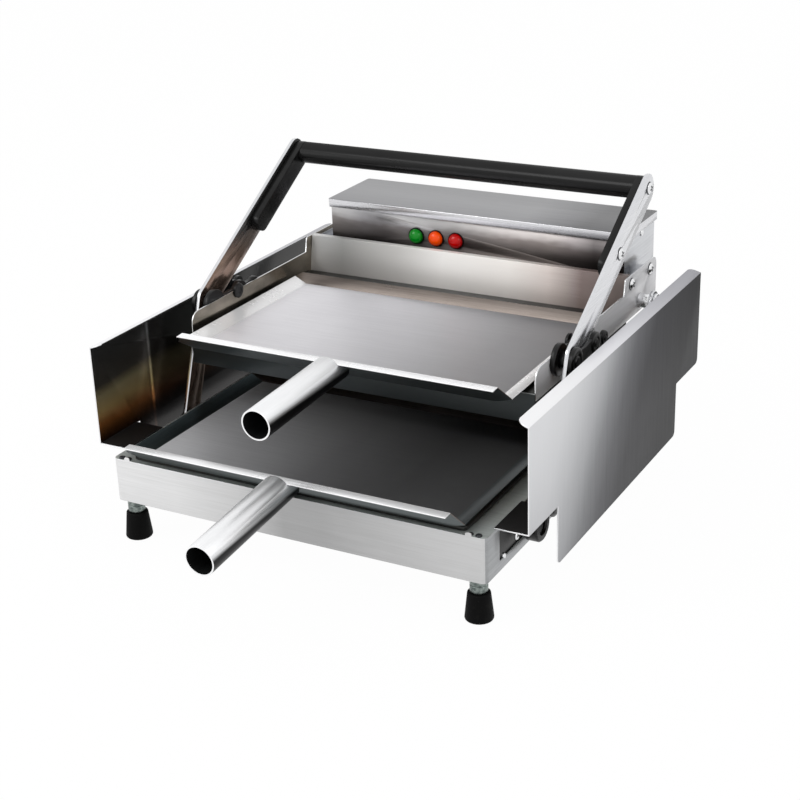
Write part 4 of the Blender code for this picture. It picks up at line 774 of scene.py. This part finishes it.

# The back panel is a stainless sheet behind the upper tray, folded back along its top.
# It is brushed crossways and painted with reflections, bright in the middle and dark at its right end, with a
# warm cast low down.
panel_steel = Finish("panel_steel", metallic=0.22)
panel_streak = panel_steel.grain("X", 16, 900)
panel_low, panel_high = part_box("deck_back_panel")
# The sweep across the panel is a painted reflection, bright in the middle and dark at the right end.
panel_reflection_sweep = panel_steel.ramp(
    panel_steel.way("X", panel_low.x, panel_high.x, panel_streak * 0.01),
    (0.02, (0.62, 0.62, 0.61)), (0.12, (0.40, 0.40, 0.39)), (0.30, (0.62, 0.61, 0.59)),
    (0.45, (0.92, 0.90, 0.87)), (0.66, (0.90, 0.86, 0.82)), (0.78, (0.72, 0.64, 0.60)),
    (0.88, (0.20, 0.15, 0.14)), (0.98, (0.13, 0.10, 0.09)),
)
panel_rise = panel_steel.along("Z") + panel_steel.noise(12) * 0.02
panel_warm = panel_steel.share(panel_rise, panel_high.z, panel_low.z + 0.02) * 0.4
panel_steel.feed(
    base_color=panel_steel.blend(panel_warm, panel_reflection_sweep, (0.44, 0.36, 0.32)),
    roughness=panel_streak.between(0.30, 0.46),
)
panel_steel.relief(panel_streak, 0.00003)
dressed("deck_back_panel", (panel_steel,), edge=0.0004)

# The control box is an open stainless box, and its folded lid overhangs it all round.
# Its front is brushed crossways, with painted shade that makes it dark low down behind the panel and lighter
# under the lid, and painted reflections across it that fade to dark at its right end.
box_low, box_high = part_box("control_box")
box_front = Finish("box_front", metallic=1.0)
box_streak = box_front.grain("X", 14, 900)
box_cloud = box_front.noise((9, 9, 26), 3)
box_drift = box_cloud.between(-0.017, 0.017)
box_rise = box_front.share(box_front.along("Z") + box_drift, box_low.z + 0.014, box_high.z - 0.004)
# The rise from dark to light is painted shade, darkest low down behind the panel.
box_painted_shade = box_front.ramp(
    box_rise,
    (0.0, (0.07, 0.06, 0.056)), (0.45, (0.24, 0.22, 0.215)),
    (0.72, (0.56, 0.55, 0.55)), (1.0, (0.80, 0.79, 0.79)),
)
# The sweep across the front is a painted reflection that fades to dark at the right end.
box_reflection_sweep = box_front.ramp(
    box_front.way("X", -box_high.x, box_high.x, box_cloud.between(-0.010, 0.010)),
    (0.05, 0.95), (0.14, (0.60, 0.60, 0.62)), (0.21, (0.55, 0.55, 0.57)), (0.28, (0.92, 0.92, 0.93)),
    (0.36, 1.0), (0.62, (1.0, 0.95, 0.93)), (0.74, (0.72, 0.68, 0.66)), (0.81, (0.42, 0.39, 0.39)),
    (0.88, (0.14, 0.13, 0.13)),
)
box_streaked = box_front.blend(box_streak * 0.2, box_painted_shade, (0.34, 0.33, 0.33))
box_front.feed(
    base_color=box_front.times(box_streaked, box_reflection_sweep),
    roughness=box_streak.between(0.24, 0.42),
)
box_front.relief(box_streak, 0.00003)
box_side = brushed("box_side", (0.50, 0.51, 0.53), (0.70, 0.71, 0.73), "Y", 0.30)


def box_face(middle, normal):
    return box_front if normal.y < -mostly else box_side


dressed("control_box", (box_front, box_side), edge=0.0004, pick=box_face)
lid_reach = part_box("control_box_lid")[1].x
lid_top = Finish("lid_top", metallic=1.0)
lid_streak = lid_top.grain("X", 14, 700)
# The lid's top is painted darker towards its right, as shade.
lid_shade_sweep = lid_top.way("X", -lid_reach, lid_reach, lid_top.noise(5).between(-0.015, 0.015))
lid_top.feed(
    base_color=lid_top.ramp(
        lid_shade_sweep + lid_streak.between(-0.025, 0.025),
        (0.0, (0.28, 0.28, 0.29)), (0.66, (0.30, 0.30, 0.31)), (0.79, (0.20, 0.20, 0.21)),
        (0.87, (0.12, 0.12, 0.125)), (1.0, (0.11, 0.11, 0.115)),
    ),
    roughness=lid_streak.between(0.28, 0.44),
)
lid_top.relief(lid_streak, 0.00003)
lid_edge = brushed("lid_edge", (0.60, 0.60, 0.62), (0.80, 0.80, 0.82), "X", 0.26)


def lid_face(middle, normal):
    return lid_top if normal.z > squarely else lid_edge


dressed("control_box_lid", (lid_top, lid_edge), edge=0.0006, pick=lid_face)

# One more domed screw holds the lid to each side of the control box, near the middle of its depth.
# It is the same bright plated screw as beside the collars.
box_side_plane = lid_reach - 0.0030
lid_screw_y, lid_screw_z = box_high.y - 0.042, box_high.z - 0.0125
lid_screw_head = domed(0.0042, 0.0022)
for hand, side in hands:
    lid_screw = bmesh.new()
    spot = (side * box_side_plane, lid_screw_y, lid_screw_z)
    turned(lid_screw, lid_screw_head, spot, (side, 0, 0), sides=28)
    added(f"lid_screw_{hand}", "deck", screw_bright, lid_screw)

# Three signal lamps sit in a row on the box: green, orange and red domed lenses in black bezels.
# Each lens is a clear moulding with a frosted inside, so its colour deepens towards the rim, and a faint
# painted glow lights its pale middle.
box_front_plane = box_low.y + 0.0235
bezel_outline = ((1.01, 0), (1.11, 0), (1.11, 0.0010), (1.07, 0.0016), (1.01, 0.0012))
for lens, deep, pale in (
    ("lamp_green", (0.0, 0.020, 0.0), (0.0, 0.24, 0.012)),
    ("lamp_orange", (0.22, 0.006, 0.0), (0.95, 0.075, 0.0)),
    ("lamp_red", (0.08, 0.0, 0.0), (0.50, 0.001, 0.001)),
):
    # The lens's faint emission is a painted glow, palest in the middle.
    tint = Finish(lens + "_lens", specular_ior_level=0.3, coat_roughness=0.05, emission_strength=0.10)
    facing_rim = tint.add("LayerWeight", {}, {"Blend": 0.35}, "Facing")
    tint.feed(
        base_color=tint.blend(facing_rim, pale, deep),
        roughness=tint.noise(700).between(0.04, 0.14),
        emission_color=tint.blend(facing_rim, pale, deep),
    )
    dressed(lens, (tint,), edge=0.0002, angle=50)
    low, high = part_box(lens)
    radius = (high.x - low.x) / 2
    bezel = bmesh.new()
    outline = [(radius * out, up) for out, up in bezel_outline]
    turned(bezel, outline, (low.x + radius, box_front_plane, (low.z + high.z) / 2), (0, -1, 0), sides=40)
    added(lens + "_bezel", "deck", grip_black, bezel)

# The switch at the back is a black rocker in a snap-in housing.
# Both are moulded with a fine spark texture and shine a little on the rocker's face.
rocker_black = speckled(
    "rocker_black", (1500, 5), 0.008, 0.018, (0.28, 0.48), 0.00005, specular_ior_level=0.5
)
dressed("switch_housing", (rocker_black,), edge=0.0005)
dressed("switch_rocker", (rocker_black,), edge=0.0005)

# Each tray is a shallow pan folded from thin stainless sheet, with a polished lip.
# The pans are softly brushed inside and painted darker towards the right as shade, the lower one most, and
# both are painted dark underneath as shade. Their flares carry painted reflections, dull brown on faces
# turned forward and dark teal on the lower pan's sides, and their lips are painted near white as a highlight.
pan_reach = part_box("upper_tray")[1].x
# The pans' tone fades to dark towards the right as painted shade.
upper_pan_shade_stops = ((0.05, 1.0), (0.30, 0.86), (0.55, 0.62), (0.80, 0.34), (0.95, 0.24))
shade_stops = ((0.05, 1.0), (0.25, 0.62), (0.50, 0.26), (0.75, 0.08), (0.95, 0.05))
pan_inside = brushed(
    "pan_inside", (0.72, 0.71, 0.74), (0.86, 0.85, 0.88), "X", 0.36, metallic=0.5,
    wash=("X", -pan_reach, pan_reach, upper_pan_shade_stops),
)
pan_shade = brushed(
    "pan_shade", (0.66, 0.66, 0.68), (0.82, 0.82, 0.84), "X", 0.36, metallic=0.5,
    wash=("X", -pan_reach, pan_reach, shade_stops),
)
# The flares carry painted reflections, brown on faces turned forward and teal on the lower pan's sides.
flare_brown_reflection = brushed("flare_brown_reflection", (0.10, 0.085, 0.075), (0.18, 0.155, 0.140), "X", 0.30)
flare_teal_reflection = brushed("flare_teal_reflection", (0.035, 0.050, 0.055), (0.075, 0.095, 0.10), "Y", 0.30)
# The undersides are painted dark as shade.
pan_under_shade = speckled(
    "pan_under_shade", ((18, 700, 700), 5), (0.075, 0.088, 0.092), (0.14, 0.155, 0.155), (0.24, 0.44), metallic=0.9
)
# The lip finish is painted near white as a highlight, and the tubes' cut ends share it.
lip_bright = brushed("lip_bright", (0.90, 0.90, 0.91), (0.96, 0.96, 0.97), "X", 0.26, metallic=0.45)
rim_height, lip_depth, floor_height = 0.0012, 0.002, 0.003
level, flared, downcast = 0.95, 0.2, 0.1
for deck, pan_top in (("lower", pan_shade), ("upper", pan_inside)):
    tray_low, tray_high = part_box(f"{deck}_tray")

    def pan_face(middle, normal):
        if middle.z > tray_high.z - rim_height:
            return lip_bright
        if normal.z < downcast:
            return lip_bright if middle.y < tray_low.y + lip_depth else pan_under_shade
        if normal.z > level and middle.z < tray_low.z + floor_height:
            return pan_top
        if normal.y < -flared:
            return flare_brown_reflection
        return flare_teal_reflection if abs(normal.x) > flared and deck == "lower" else lip_bright

    pan_finishes = (pan_top, pan_under_shade, lip_bright, flare_brown_reflection, flare_teal_reflection)
    dressed(f"{deck}_tray", pan_finishes, edge=0.0002, pick=pan_face)

# Each tray's handle is a plain round tube of polished steel, welded under the tray's lip.
# It is painted bright above and dark below as light and shade, with a scaly bore painted black as shade and a
# bright cut end.
tube_steel = Finish("tube_steel", metallic=1.0)
tube_grain = tube_steel.grain("Y", 24, 900)
# The tube is painted bright on faces turned up and near black on faces turned down, as light and shade.
tube_facing = tube_steel.along("Z", "Normal") + tube_grain.between(-0.03, 0.03)
tube_shade = tube_steel.ramp(tube_facing, (0.0, 0.03), (0.06, 0.10), (0.24, 0.86), (0.40, 1.0))
tube_steel.feed(
    base_color=tube_steel.times(
        tube_steel.blend(tube_grain, (0.82, 0.83, 0.84), (0.95, 0.95, 0.96)), tube_shade
    ),
    roughness=tube_grain.between(0.36, 0.48),
)
tube_steel.relief(tube_grain, 0.00003)
# The bore is painted near black as shade.
tube_bore_shade = speckled(
    "tube_bore_shade", ((300, 60, 300),), 0.002, (0.007, 0.008, 0.008), (0.60, 0.90), specular_ior_level=0.08
)
for deck in ("lower", "upper"):
    tube_low, tube_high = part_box(f"{deck}_tray_handle")
    tube_radius = tube_high.x
    tube_slope = (tube_high.z - tube_low.z - 2 * tube_radius) / (tube_high.y - tube_low.y)

    def tube_face(middle, normal):
        if abs(normal.y) > mostly:
            return lip_bright
        axis_height = tube_low.z + tube_radius + (middle.y - tube_low.y) * tube_slope
        outward = normal.x * middle.x + normal.z * (middle.z - axis_height)
        return tube_bore_shade if outward < 0 else tube_steel

    tube_finishes = (tube_steel, tube_bore_shade, lip_bright)
    dressed(f"{deck}_tray_handle", tube_finishes, edge=0.0003, pick=tube_face, angle=round_crease)
